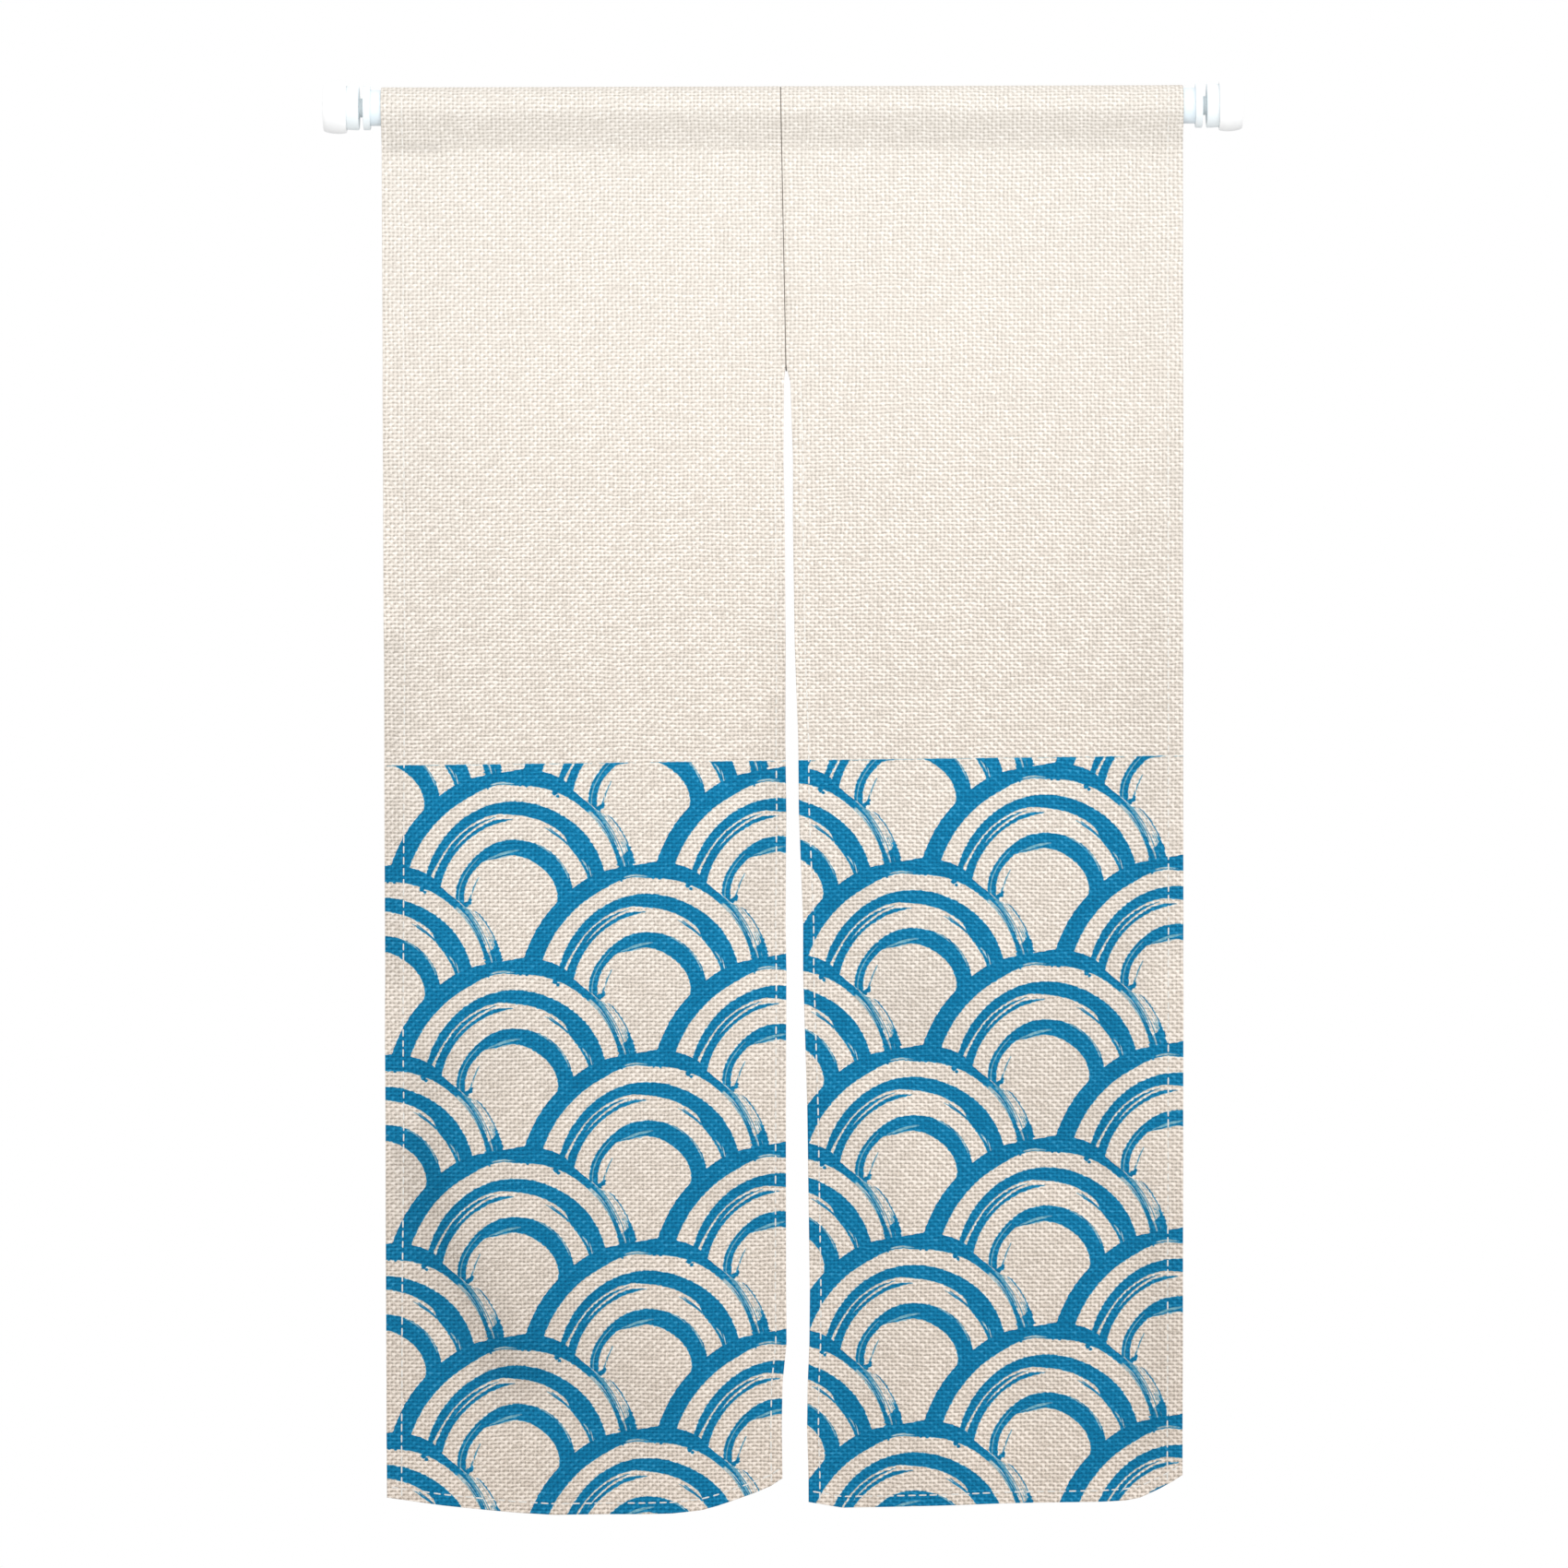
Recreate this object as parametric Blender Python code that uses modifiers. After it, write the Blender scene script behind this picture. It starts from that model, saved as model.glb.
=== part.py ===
"""Split door curtain hanging on a tension rod, as closed solids.

Two cloth panels hang side by side on a round rod. Each panel is one sheet: a flap up the back of the rod,
over its top, down its front to the line where the pocket is sewn, and on down to the bottom hem. The panels
are sewn edge to edge at the top and part below in a slit. The rod is a tube with a collar, a flared end cap
and a soft foot at each end.

Metres. The origin is the centre of the left foot's flat face, +X runs along the rod to the right foot,
+Z is up, and the front of the cloth faces -Y.
"""
import math

import bmesh
import bpy
from mathutils import Vector

# The rod
ROD_LENGTH = 0.973
ROD_STEPS = 32
TUBE_RADIUS = 0.019
TUBE_WALL = 0.0012
TUBE_START = 0.0452
FIT_GAP = 0.0004

# One end of the rod, by its distance from the wall
FOOT_DEPTH = 0.0245
FOOT_CUP_FLOOR = 0.0125
FOOT_CUP_RADIUS = 0.0222
CAP_START = 0.0130
CAP_END = 0.0378
CAP_RADIUS = 0.0235
NECK_RADIUS = 0.0100
NECK_END = 0.0620
COLLAR_START = 0.0425
COLLAR_END = 0.0498
COLLAR_RADIUS = 0.0234

# The cloth
CLOTH_THICKNESS = 0.0016
HEM_THICKNESS = 0.0024
HEM_STEP = 0.003
BOTTOM_HEM = 0.012
ROD_CLEARANCE = 0.0007
POCKET_RADIUS = TUBE_RADIUS + ROD_CLEARANCE + HEM_THICKNESS / 2
STITCH_Z = -0.043
FLAP_END_Z = -0.050
BODY_TOP_Z = -0.060
LAYER_OFFSET = 0.00145
ARC_STEPS = 14
LAYER_STEPS = 4
BODY_ROWS = 36
MIDDLE_COLUMNS = 11

# Where the panels' upright edges run, level by level: the seam ends at -0.275 and the slit opens below it
EDGE_COLUMNS = ("z", "left_outer", "left_inner", "right_inner", "right_outer")
EDGE_LEVELS = (
    (0.030, 0.0613, 0.4836, 0.4842, 0.9102),
    (-0.275, 0.0618, 0.4886, 0.4892, 0.9096),
    (-0.291, 0.0619, 0.4862, 0.4942, 0.9095),
    (-0.375, 0.0622, 0.4850, 0.4964, 0.9092),
    (-0.570, 0.0624, 0.4864, 0.4972, 0.9088),
    (-0.670, 0.0620, 0.4862, 0.5010, 0.9083),
    (-0.865, 0.0622, 0.4861, 0.5056, 0.9078),
    (-1.060, 0.0624, 0.4868, 0.5082, 0.9072),
    (-1.255, 0.0627, 0.4856, 0.5116, 0.9064),
    (-1.350, 0.0629, 0.4820, 0.5098, 0.9056),
    (-1.450, 0.0631, 0.4814, 0.5096, 0.9046),
)

# The bottom edges, as (x, z) points along the curtain: both panels sag and their corners curl up
LEFT_HEM = (
    (0.063, -1.4722), (0.122, -1.4800), (0.200, -1.4880), (0.240, -1.4912), (0.335, -1.4897),
    (0.395, -1.4840), (0.435, -1.4737), (0.455, -1.4668), (0.470, -1.4606), (0.481, -1.4530),
)
RIGHT_HEM = (
    (0.510, -1.4785), (0.545, -1.4843), (0.625, -1.4817), (0.720, -1.4801), (0.820, -1.4785),
    (0.845, -1.4765), (0.860, -1.4735), (0.880, -1.4640), (0.895, -1.4553), (0.904, -1.4490),
)

# The soft folds: each follows a curve through three points, falls off over one width to its left and one to
# its right as seen from the front, and goes back by its depth, or forward below 0
FOLD_COLUMNS = (
    "x_top", "z_top", "x_mid", "z_mid", "x_low", "z_low", "left_width", "right_width", "depth",
)
LEFT_FOLDS = (
    (0.076, -0.420, 0.080, -0.520, 0.072, -0.660, 0.030, 0.060, 0.006),
    (0.095, -1.060, 0.119, -1.196, 0.197, -1.352, 0.035, 0.075, 0.016),
    (0.197, -1.352, 0.245, -1.390, 0.300, -1.425, 0.040, 0.070, 0.008),
    (0.245, -0.960, 0.300, -1.140, 0.345, -1.330, 0.080, 0.080, -0.009),
    (0.486, -0.570, 0.470, -0.720, 0.444, -0.860, 0.035, 0.060, 0.010),
    (0.262, -1.055, 0.290, -1.035, 0.325, -1.010, 0.030, 0.040, 0.005),
    (0.425, -1.180, 0.445, -1.280, 0.440, -1.440, 0.045, 0.060, 0.009),
    (0.240, -0.340, 0.265, -0.600, 0.270, -0.820, 0.090, 0.090, -0.005),
)
RIGHT_FOLDS = (
    (0.866, -0.170, 0.862, -0.400, 0.852, -0.640, 0.070, 0.040, 0.007),
    (0.853, -0.740, 0.838, -0.960, 0.803, -1.115, 0.050, 0.050, 0.010),
    (0.558, -0.880, 0.578, -0.960, 0.600, -1.000, 0.045, 0.045, 0.007),
    (0.600, -1.000, 0.680, -1.070, 0.790, -1.125, 0.040, 0.055, 0.009),
    (0.690, -0.300, 0.680, -0.600, 0.700, -0.900, 0.090, 0.090, -0.006),
    (0.640, -1.180, 0.635, -1.300, 0.640, -1.440, 0.060, 0.060, -0.008),
    (0.705, -1.160, 0.708, -1.260, 0.700, -1.370, 0.035, 0.045, 0.006),
    (0.858, -1.190, 0.868, -1.300, 0.860, -1.440, 0.050, 0.040, 0.011),
    (0.540, -1.130, 0.542, -1.240, 0.536, -1.440, 0.040, 0.045, 0.006),
)

FOLD_STEPS = 6
MIN_DISTANCE = 0.000001

# The broad wave of the hanging cloth, which grows from nothing at the pocket
WAVE_LENGTH = 0.235
WAVE_DEPTH = 0.006
WAVE_PHASE = 0.6
FOLDS_START_Z = -0.09
FOLDS_FULL_Z = -0.32
CURTAIN_DROP = 1.49

PANELS = (
    {
        "name": "panel_left", "edges": ("left_outer", "left_inner"), "hems": (0.021, 0.010),
        "bottom": LEFT_HEM, "folds": LEFT_FOLDS,
    },
    {
        "name": "panel_right", "edges": ("right_inner", "right_outer"), "hems": (0.010, 0.016),
        "bottom": RIGHT_HEM, "folds": RIGHT_FOLDS,
    },
)


def clear_scene():
    """Removes what the scene held before."""
    for thing in list(bpy.data.objects):
        bpy.data.objects.remove(thing, do_unlink=True)


def finish(name, color, roughness, metallic):
    """Makes a plain material."""
    material = bpy.data.materials.new(name)
    material.use_nodes = True
    shader = material.node_tree.nodes["Principled BSDF"]
    shader.inputs["Base Color"].default_value = (*color, 1.0)
    shader.inputs["Roughness"].default_value = roughness
    shader.inputs["Metallic"].default_value = metallic
    return material


def add_object(name, mesh, collection, material):
    """Links one named sub-part."""
    part = bpy.data.objects.new(name, mesh)
    part.data.materials.append(material)
    collection.objects.link(part)
    return part


def interpolate(table, x):
    """Reads a table of (x, value) pairs in rising x, with straight lines between them."""
    if x <= table[0][0]:
        return table[0][1]
    for (x0, value0), (x1, value1) in zip(table, table[1:]):
        if x <= x1:
            return value0 + (value1 - value0) * (x - x0) / (x1 - x0)
    return table[-1][1]


def ease(t):
    """Goes from 0 to 1 with level ends."""
    t = min(max(t, 0.0), 1.0)
    return t * t * (3.0 - 2.0 * t)


def edge_x(edge, z):
    """Where an upright edge runs at a height."""
    column = EDGE_COLUMNS.index(edge)
    return interpolate([(level[0], level[column]) for level in reversed(EDGE_LEVELS)], z)


def fold_curve(fold):
    """Points on the curve through a fold's three points: a parabola in each direction."""
    points = []
    for step in range(FOLD_STEPS + 1):
        t = step / FOLD_STEPS
        shares = ((1.0 - t) * (1.0 - 2.0 * t), 4.0 * t * (1.0 - t), t * (2.0 * t - 1.0))
        points.append(tuple(
            sum(share * fold[axis + "_" + place] for share, place in zip(shares, ("top", "mid", "low")))
            for axis in ("x", "z")
        ))
    return points


def run_distance(x, z, start, end):
    """Distance of a place from a straight run, and the side it lies on: 1 for left, -1 for right."""
    run_x, run_z = end[0] - start[0], end[1] - start[1]
    run_length = math.hypot(run_x, run_z)
    from_x, from_z = x - start[0], z - start[1]
    along = min(max((from_x * run_x + from_z * run_z) / run_length**2, 0.0), 1.0)
    away = math.hypot(from_x - along * run_x, from_z - along * run_z)
    across = (run_z * from_x - run_x * from_z) / run_length
    return away, across / max(away, MIN_DISTANCE)


def fold_depth(folds, x, z):
    """Depth of all soft folds at a place: each is a bell curve of the distance from its line."""
    total = 0.0
    for row in folds:
        fold = dict(zip(FOLD_COLUMNS, row))
        line = fold_curve(fold)
        away, side = min(run_distance(x, z, start, end) for start, end in zip(line, line[1:]))
        width = (fold["left_width"] * (1.0 + side) + fold["right_width"] * (1.0 - side)) / 2.0
        total += fold["depth"] * math.exp(-((away / width) ** 2))
    return total


def cloth_depth(folds, x, z):
    """Depth of the hanging cloth: its folds and broad wave, both growing downward from the pocket."""
    grown = ease((FOLDS_START_Z - z) / (FOLDS_START_Z - FOLDS_FULL_Z))
    drop = max(-z, 0.0) / CURTAIN_DROP
    wave = WAVE_DEPTH * drop * math.sin(2.0 * math.pi * x / WAVE_LENGTH + WAVE_PHASE)
    return grown * (fold_depth(folds, x, z) + wave)


def eased_curve(start, start_slope, end, end_slope, steps):
    """Points after start on a cubic curve between two (y, z) points with the given end slopes."""
    points = []
    for step in range(1, steps + 1):
        t = step / steps
        weights = (
            2 * t**3 - 3 * t**2 + 1, t**3 - 2 * t**2 + t, -2 * t**3 + 3 * t**2, t**3 - t**2,
        )
        points.append(tuple(
            weights[0] * start[k] + weights[1] * start_slope[k] + weights[2] * end[k] + weights[3] * end_slope[k]
            for k in range(2)
        ))
    return points


def pocket_section():
    """The (y, z) points of the pocket, from the flap's low end up the back, over the rod and down the front."""
    lean = math.asin(POCKET_RADIUS / -STITCH_Z)
    leave = (POCKET_RADIUS * math.cos(lean), -POCKET_RADIUS * math.sin(lean))
    reach = leave[1] - STITCH_Z
    flap_end = (LAYER_OFFSET, FLAP_END_Z)
    stitched = (LAYER_OFFSET, STITCH_Z)
    up_back = eased_curve(
        stitched, (0.0, reach * 0.7), leave, (reach * math.sin(lean), reach * math.cos(lean)), LAYER_STEPS
    )
    sweep = math.pi + 2.0 * lean
    over = [
        (
            POCKET_RADIUS * math.cos(-lean + sweep * step / ARC_STEPS),
            POCKET_RADIUS * math.sin(-lean + sweep * step / ARC_STEPS),
        )
        for step in range(1, ARC_STEPS + 1)
    ]
    down_front = eased_curve(
        over[-1], (reach * math.sin(lean), -reach * math.cos(lean)), (-LAYER_OFFSET, STITCH_Z),
        (0.0, -reach * 0.7), LAYER_STEPS
    )
    return [flap_end, stitched] + up_back + over + down_front + [(-LAYER_OFFSET, FLAP_END_Z)]


def column_places(width, hems):
    """Distances of the columns from the panel's left edge: both hems, the steps beside them, the middle."""
    first, last = hems[0] + HEM_STEP, width - hems[1] - HEM_STEP
    middle = [first + (last - first) * k / (MIDDLE_COLUMNS - 1) for k in range(MIDDLE_COLUMNS)]
    return [0.0, hems[0]] + middle + [width - hems[1], width]


def body_places(top, bottom):
    """Heights of the rows from under the pocket to the bottom edge, the last three at the hem."""
    last = bottom + BOTTOM_HEM + HEM_STEP
    rows = [top + (last - top) * k / BODY_ROWS for k in range(BODY_ROWS + 1)]
    return rows + [bottom + BOTTOM_HEM, bottom]


def hang_panel(panel, collection, material):
    """Makes one panel: a flat grid of cloth is hung over the rod and given its thickness."""
    pocket = pocket_section()
    column_count = MIDDLE_COLUMNS + 4
    row_count = len(pocket) + BODY_ROWS + 3
    cloth = bmesh.new()
    bmesh.ops.create_grid(cloth, x_segments=column_count - 1, y_segments=row_count - 1, size=1.0)
    hem_corners = []
    for corner in cloth.verts:
        column = round((corner.co.x + 1.0) / 2.0 * (column_count - 1))
        row = round((corner.co.y + 1.0) / 2.0 * (row_count - 1))
        corner.co = Vector(hang_point(panel, pocket, column, row))
        if column in (0, 1, column_count - 2, column_count - 1) or row >= row_count - 2:
            hem_corners.append(corner.index)
    bmesh.ops.reverse_faces(cloth, faces=cloth.faces)
    mesh = bpy.data.meshes.new(panel["name"])
    cloth.to_mesh(mesh)
    cloth.free()
    mesh.shade_smooth()
    part = add_object(panel["name"], mesh, collection, material)
    hems = part.vertex_groups.new(name="hems")
    hems.add(hem_corners, 1.0, "REPLACE")
    thick = part.modifiers.new("thickness", "SOLIDIFY")
    thick.thickness = HEM_THICKNESS
    thick.offset = 0.0
    thick.vertex_group = hems.name
    thick.thickness_vertex_group = CLOTH_THICKNESS / HEM_THICKNESS
    return part


def hang_point(panel, pocket, column, row):
    """The place of one grid corner of a panel: rows run from the flap's end to the bottom edge."""
    outer, inner = panel["edges"]
    if row < len(pocket):
        y, z = pocket[row]
        left, right = edge_x(outer, z), edge_x(inner, z)
        return left + column_places(right - left, panel["hems"])[column], y, z
    left, right = edge_x(outer, panel["bottom"][0][1]), edge_x(inner, panel["bottom"][-1][1])
    x = left + column_places(right - left, panel["hems"])[column]
    z = body_places(BODY_TOP_Z, interpolate(panel["bottom"], x))[row - len(pocket)]
    left, right = edge_x(outer, z), edge_x(inner, z)
    x = left + column_places(right - left, panel["hems"])[column]
    return x, -LAYER_OFFSET + cloth_depth(panel["folds"], x, z), z


def turned_part(name, profile, closed, collection, material):
    """Turns a profile of (radius, height) points about +Z; its outer side runs down."""
    mesh = bpy.data.meshes.new(name)
    corners = [(radius, 0.0, height) for radius, height in profile]
    edges = [(k, k + 1) for k in range(len(corners) - 1)]
    if closed:
        edges.append((len(corners) - 1, 0))
    mesh.from_pydata(corners, edges, [])
    part = add_object(name, mesh, collection, material)
    turn = part.modifiers.new("turn", "SCREW")
    turn.axis = "Z"
    turn.angle = 2.0 * math.pi
    turn.steps = ROD_STEPS
    turn.render_steps = ROD_STEPS
    turn.use_merge_vertices = True
    turn.merge_threshold = 0.00001
    turn.use_smooth_shade = True
    return part


def foot_profile():
    """A soft cup: its flat face is at the wall and its rim stands round the end cap."""
    return [
        (0.0, FOOT_CUP_FLOOR), (FOOT_CUP_RADIUS, FOOT_CUP_FLOOR), (0.0240, FOOT_DEPTH),
        (0.0262, FOOT_DEPTH), (0.0273, 0.0190), (0.0271, 0.0110), (0.0258, 0.0035), (0.0240, 0.0),
        (0.0, 0.0),
    ]


def cap_profile():
    """A flared cap with a neck that runs through the collar into the tube."""
    return [
        (0.0, NECK_END), (NECK_RADIUS - 0.001, NECK_END), (NECK_RADIUS, NECK_END - 0.001),
        (NECK_RADIUS, CAP_END), (CAP_RADIUS - 0.0012, CAP_END), (CAP_RADIUS, CAP_END - 0.0012),
        (CAP_RADIUS - 0.0003, 0.0290), (0.0225, 0.0235), (0.0213, 0.0185), (0.0208, CAP_START),
        (0.0, CAP_START),
    ]


def collar_profile():
    """A ring over the tube's end, with a hole for the neck."""
    bore = TUBE_RADIUS + FIT_GAP
    hole = NECK_RADIUS + FIT_GAP
    return [
        (hole, TUBE_START - FIT_GAP), (bore, TUBE_START - FIT_GAP), (bore, COLLAR_END),
        (COLLAR_RADIUS - 0.001, COLLAR_END), (COLLAR_RADIUS, COLLAR_END - 0.001),
        (COLLAR_RADIUS, COLLAR_START + 0.001), (COLLAR_RADIUS - 0.001, COLLAR_START), (hole, COLLAR_START),
    ]


def tube_profile():
    """The tube's wall, from one collar to the other."""
    inner = TUBE_RADIUS - TUBE_WALL
    end = ROD_LENGTH - TUBE_START
    return [(inner, end), (TUBE_RADIUS, end), (TUBE_RADIUS, TUBE_START), (inner, TUBE_START)]


def build():
    """Builds the curtain and its rod."""
    clear_scene()
    curtain = bpy.data.collections.new("door_curtain")
    bpy.context.scene.collection.children.link(curtain)
    cloth = finish("cream_cloth", (0.84, 0.80, 0.74), 0.9, 0.0)
    coated = finish("white_coated_tube", (0.88, 0.89, 0.90), 0.35, 0.0)
    moulded = finish("white_moulding", (0.90, 0.91, 0.92), 0.45, 0.0)
    soft = finish("white_soft_foot", (0.86, 0.87, 0.88), 0.7, 0.0)

    for panel in PANELS:
        hang_panel(panel, curtain, cloth)

    tube = turned_part("rod_tube", tube_profile(), True, curtain, coated)
    tube.rotation_euler = (0.0, math.pi / 2.0, 0.0)
    for side, end_x, turn in (("left", 0.0, math.pi / 2.0), ("right", ROD_LENGTH, -math.pi / 2.0)):
        pieces = (
            turned_part("foot_" + side, foot_profile(), False, curtain, soft),
            turned_part("end_cap_" + side, cap_profile(), False, curtain, moulded),
            turned_part("collar_" + side, collar_profile(), True, curtain, moulded),
        )
        for piece in pieces:
            piece.location = (end_x, 0.0, 0.0)
            piece.rotation_euler = (0.0, turn, 0.0)


build()
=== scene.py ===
"""The looks of a split door curtain on its tension rod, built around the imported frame.

Two cream cloth panels with a brush-drawn wave-scale print hang over a white rod. Each panel is a fine sheet
on the same folds as its solid, with its hems and its rod pocket. The stitches and the centre seam are thread.
The rod's tube, collars, flared caps and soft feet are turned pieces.

Metres and the frame's axes: +X runs along the rod, +Z is up, and the front of the cloth faces -Y.
"""
import logging
import math
from dataclasses import dataclass, field
from enum import Enum

import bpy
import numpy as np
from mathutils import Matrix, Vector


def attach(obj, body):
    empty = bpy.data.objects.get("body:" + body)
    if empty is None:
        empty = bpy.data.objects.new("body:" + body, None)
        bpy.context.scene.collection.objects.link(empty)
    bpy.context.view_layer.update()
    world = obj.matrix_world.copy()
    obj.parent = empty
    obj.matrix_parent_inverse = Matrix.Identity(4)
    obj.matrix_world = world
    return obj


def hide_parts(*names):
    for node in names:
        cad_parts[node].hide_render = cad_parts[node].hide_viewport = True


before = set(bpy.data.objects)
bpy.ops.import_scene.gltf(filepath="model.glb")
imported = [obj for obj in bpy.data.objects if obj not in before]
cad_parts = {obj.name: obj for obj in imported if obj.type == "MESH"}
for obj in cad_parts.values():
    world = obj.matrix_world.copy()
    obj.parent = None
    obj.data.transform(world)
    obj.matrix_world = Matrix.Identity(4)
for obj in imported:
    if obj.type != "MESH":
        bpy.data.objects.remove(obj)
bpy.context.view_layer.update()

BODY = "root"
MM_PER_METRE = 1000.0
TINY = 1e-6

log = logging.getLogger("door_curtain")


# Shader expressions


class Value:
    """A number that the shader works out at each point, for use in Python expressions."""

    def __init__(self, graph: "Graph", socket: bpy.types.NodeSocket) -> None:
        """Wraps one output socket of a graph."""
        self.graph = graph
        self.socket = socket

    def __add__(self, other: "Number") -> "Value":
        """Adds a number."""
        return self.graph.math("ADD", self, other)

    def __radd__(self, other: float) -> "Value":
        """Adds to a plain number."""
        return self.graph.math("ADD", other, self)

    def __sub__(self, other: "Number") -> "Value":
        """Takes a number away."""
        return self.graph.math("SUBTRACT", self, other)

    def __rsub__(self, other: float) -> "Value":
        """Is taken away from a plain number."""
        return self.graph.math("SUBTRACT", other, self)

    def __mul__(self, other: "Number") -> "Value":
        """Multiplies by a number."""
        return self.graph.math("MULTIPLY", self, other)

    def __rmul__(self, other: float) -> "Value":
        """Multiplies a plain number."""
        return self.graph.math("MULTIPLY", other, self)

    def __truediv__(self, other: "Number") -> "Value":
        """Divides by a number."""
        return self.graph.math("DIVIDE", self, other)

    def __lt__(self, other: "Number") -> "Value":
        """Is 1 where it is less than a number, else 0."""
        return self.graph.math("LESS_THAN", self, other)

    def floor(self) -> "Value":
        """Rounds down."""
        return self.graph.math("FLOOR", self)

    def top(self, other: "Number") -> "Value":
        """The greater of two numbers."""
        return self.graph.math("MAXIMUM", self, other)

    def swing(self, turns: float = 0.0) -> "Value":
        """A wave from -1 to 1 with one period for each whole number, moved along by some turns."""
        return self.graph.math("COSINE", (self - turns) * (2.0 * math.pi))

    def wrap(self, half: float) -> "Value":
        """Brings a number into the range from -half to half by whole periods."""
        return self.graph.math("WRAP", self, half, -half)

    def rise(self, low: "Number", high: "Number") -> "Value":
        """Goes smoothly from 0 at low to 1 at high."""
        made = self.graph.node(
            "ShaderNodeMapRange", {"interpolation_type": "SMOOTHSTEP"}, {0: self, 1: low, 2: high}
        )
        return Value(self.graph, made.outputs[0])

    def between(self, low: "Number", high: "Number", soft: float) -> "Value":
        """Is 1 between two edges and 0 outside, each edge blurred over twice a soft distance."""
        return self.rise(low - soft, low + soft) * (1 - self.rise(high - soft, high + soft))


Number = Value | float


class Graph:
    """The nodes of one node tree."""

    def __init__(self, tree: bpy.types.NodeTree) -> None:
        """Takes the tree that the nodes go into."""
        self.tree = tree

    def node(self, kind: str, settings: dict | None = None, inputs: dict | None = None) -> bpy.types.Node:
        """Adds a node.

        Args:
            kind: The node's type.
            settings: Its own settings, set first. "stops" fills a colour ramp, "points" a float curve.
            inputs: Values or links of its sockets, by name or number.

        Returns:
            The node.
        """
        made = self.tree.nodes.new(kind)
        for name, value in (settings or {}).items():
            if name == "stops":
                self.fill_ramp(made.color_ramp, value)
            elif name == "points":
                self.fill_curve(made.mapping, value)
            else:
                setattr(made, name, value)
        for key, value in (inputs or {}).items():
            self.plug(made.inputs[key], value)
        return made

    @staticmethod
    def fill_ramp(ramp: bpy.types.ColorRamp, stops: tuple) -> None:
        """Sets a ramp's stops from (place, colour) pairs."""
        while len(ramp.elements) < len(stops):
            ramp.elements.new(1.0)
        for element, (place, color) in zip(ramp.elements, stops):
            element.position = place
            element.color = (*color, 1.0)

    @staticmethod
    def fill_curve(mapping: bpy.types.CurveMapping, points: tuple) -> None:
        """Sets a float curve's points from (place, height) pairs, joined by a smooth curve."""
        mapping.clip_min_x, mapping.clip_max_x = 0.0, 1.0
        curve = mapping.curves[0]
        while len(curve.points) < len(points):
            curve.points.new(0.5, 0.5)
        for point, place in zip(curve.points, points):
            point.location = place
            point.handle_type = "AUTO"
        mapping.update()

    def plug(self, socket: bpy.types.NodeSocket, value: "Number | tuple | bpy.types.NodeSocket") -> None:
        """Links a socket to a value, or sets it."""
        if isinstance(value, Value):
            self.tree.links.new(value.socket, socket)
        elif isinstance(value, bpy.types.NodeSocket):
            self.tree.links.new(value, socket)
        else:
            socket.default_value = value

    def math(self, operation: str, *numbers: "Number") -> Value:
        """Adds one Math node."""
        made = self.node("ShaderNodeMath", {"operation": operation}, dict(enumerate(numbers)))
        return Value(self, made.outputs[0])

    def curve(self, place: Value, points: tuple) -> Value:
        """Reads a curve of (place, height) points, all from 0 to 1, at a place."""
        made = self.node("ShaderNodeFloatCurve", {"points": points}, {"Value": place})
        return Value(self, made.outputs[0])

    def vector(self, x: "Number", y: "Number", z: "Number" = 0.0) -> bpy.types.NodeSocket:
        """Joins three numbers to a vector."""
        return self.node("ShaderNodeCombineXYZ", None, {0: x, 1: y, 2: z}).outputs[0]

    def noise(self, place: bpy.types.NodeSocket, scale: float, detail: float = 2.0) -> Value:
        """Smooth noise from 0 to 1 at a place."""
        made = self.node("ShaderNodeTexNoise", None, {"Vector": place, "Scale": scale, "Detail": detail})
        return Value(self, made.outputs[0])

    def scatter(self, place: bpy.types.NodeSocket) -> Value:
        """A number from 0 to 1 that jumps from place to place."""
        made = self.node("ShaderNodeTexWhiteNoise", {"noise_dimensions": "2D"}, {"Vector": place})
        return Value(self, made.outputs[0])

    def ramp(self, place: Value, stops: tuple) -> bpy.types.NodeSocket:
        """Reads a colour from (place, colour) stops."""
        return self.node("ShaderNodeValToRGB", {"stops": stops}, {0: place}).outputs[0]

    def mix(self, share: "Number", first: object, second: object, blend: str = "MIX") -> bpy.types.NodeSocket:
        """Mixes two colours, each a socket or (red, green, blue, alpha)."""
        made = self.node(
            "ShaderNodeMix", {"data_type": "RGBA", "blend_type": blend}, {0: share, 6: first, 7: second}
        )
        return made.outputs[2]

    def place(self, layer: str) -> tuple[Value, Value]:
        """The two coordinates of a UV layer."""
        split = self.node(
            "ShaderNodeSeparateXYZ", None, {0: self.node("ShaderNodeUVMap", {"uv_map": layer}).outputs[0]}
        )
        return Value(self, split.outputs[0]), Value(self, split.outputs[1])

    def attribute(self, name: str) -> Value:
        """A number that is kept at the mesh's corners."""
        return Value(self, self.node("ShaderNodeAttribute", {"attribute_name": name}).outputs["Fac"])

    def object_place(self) -> bpy.types.NodeSocket:
        """The object's own coordinates."""
        return self.node("ShaderNodeTexCoord").outputs["Object"]


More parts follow.
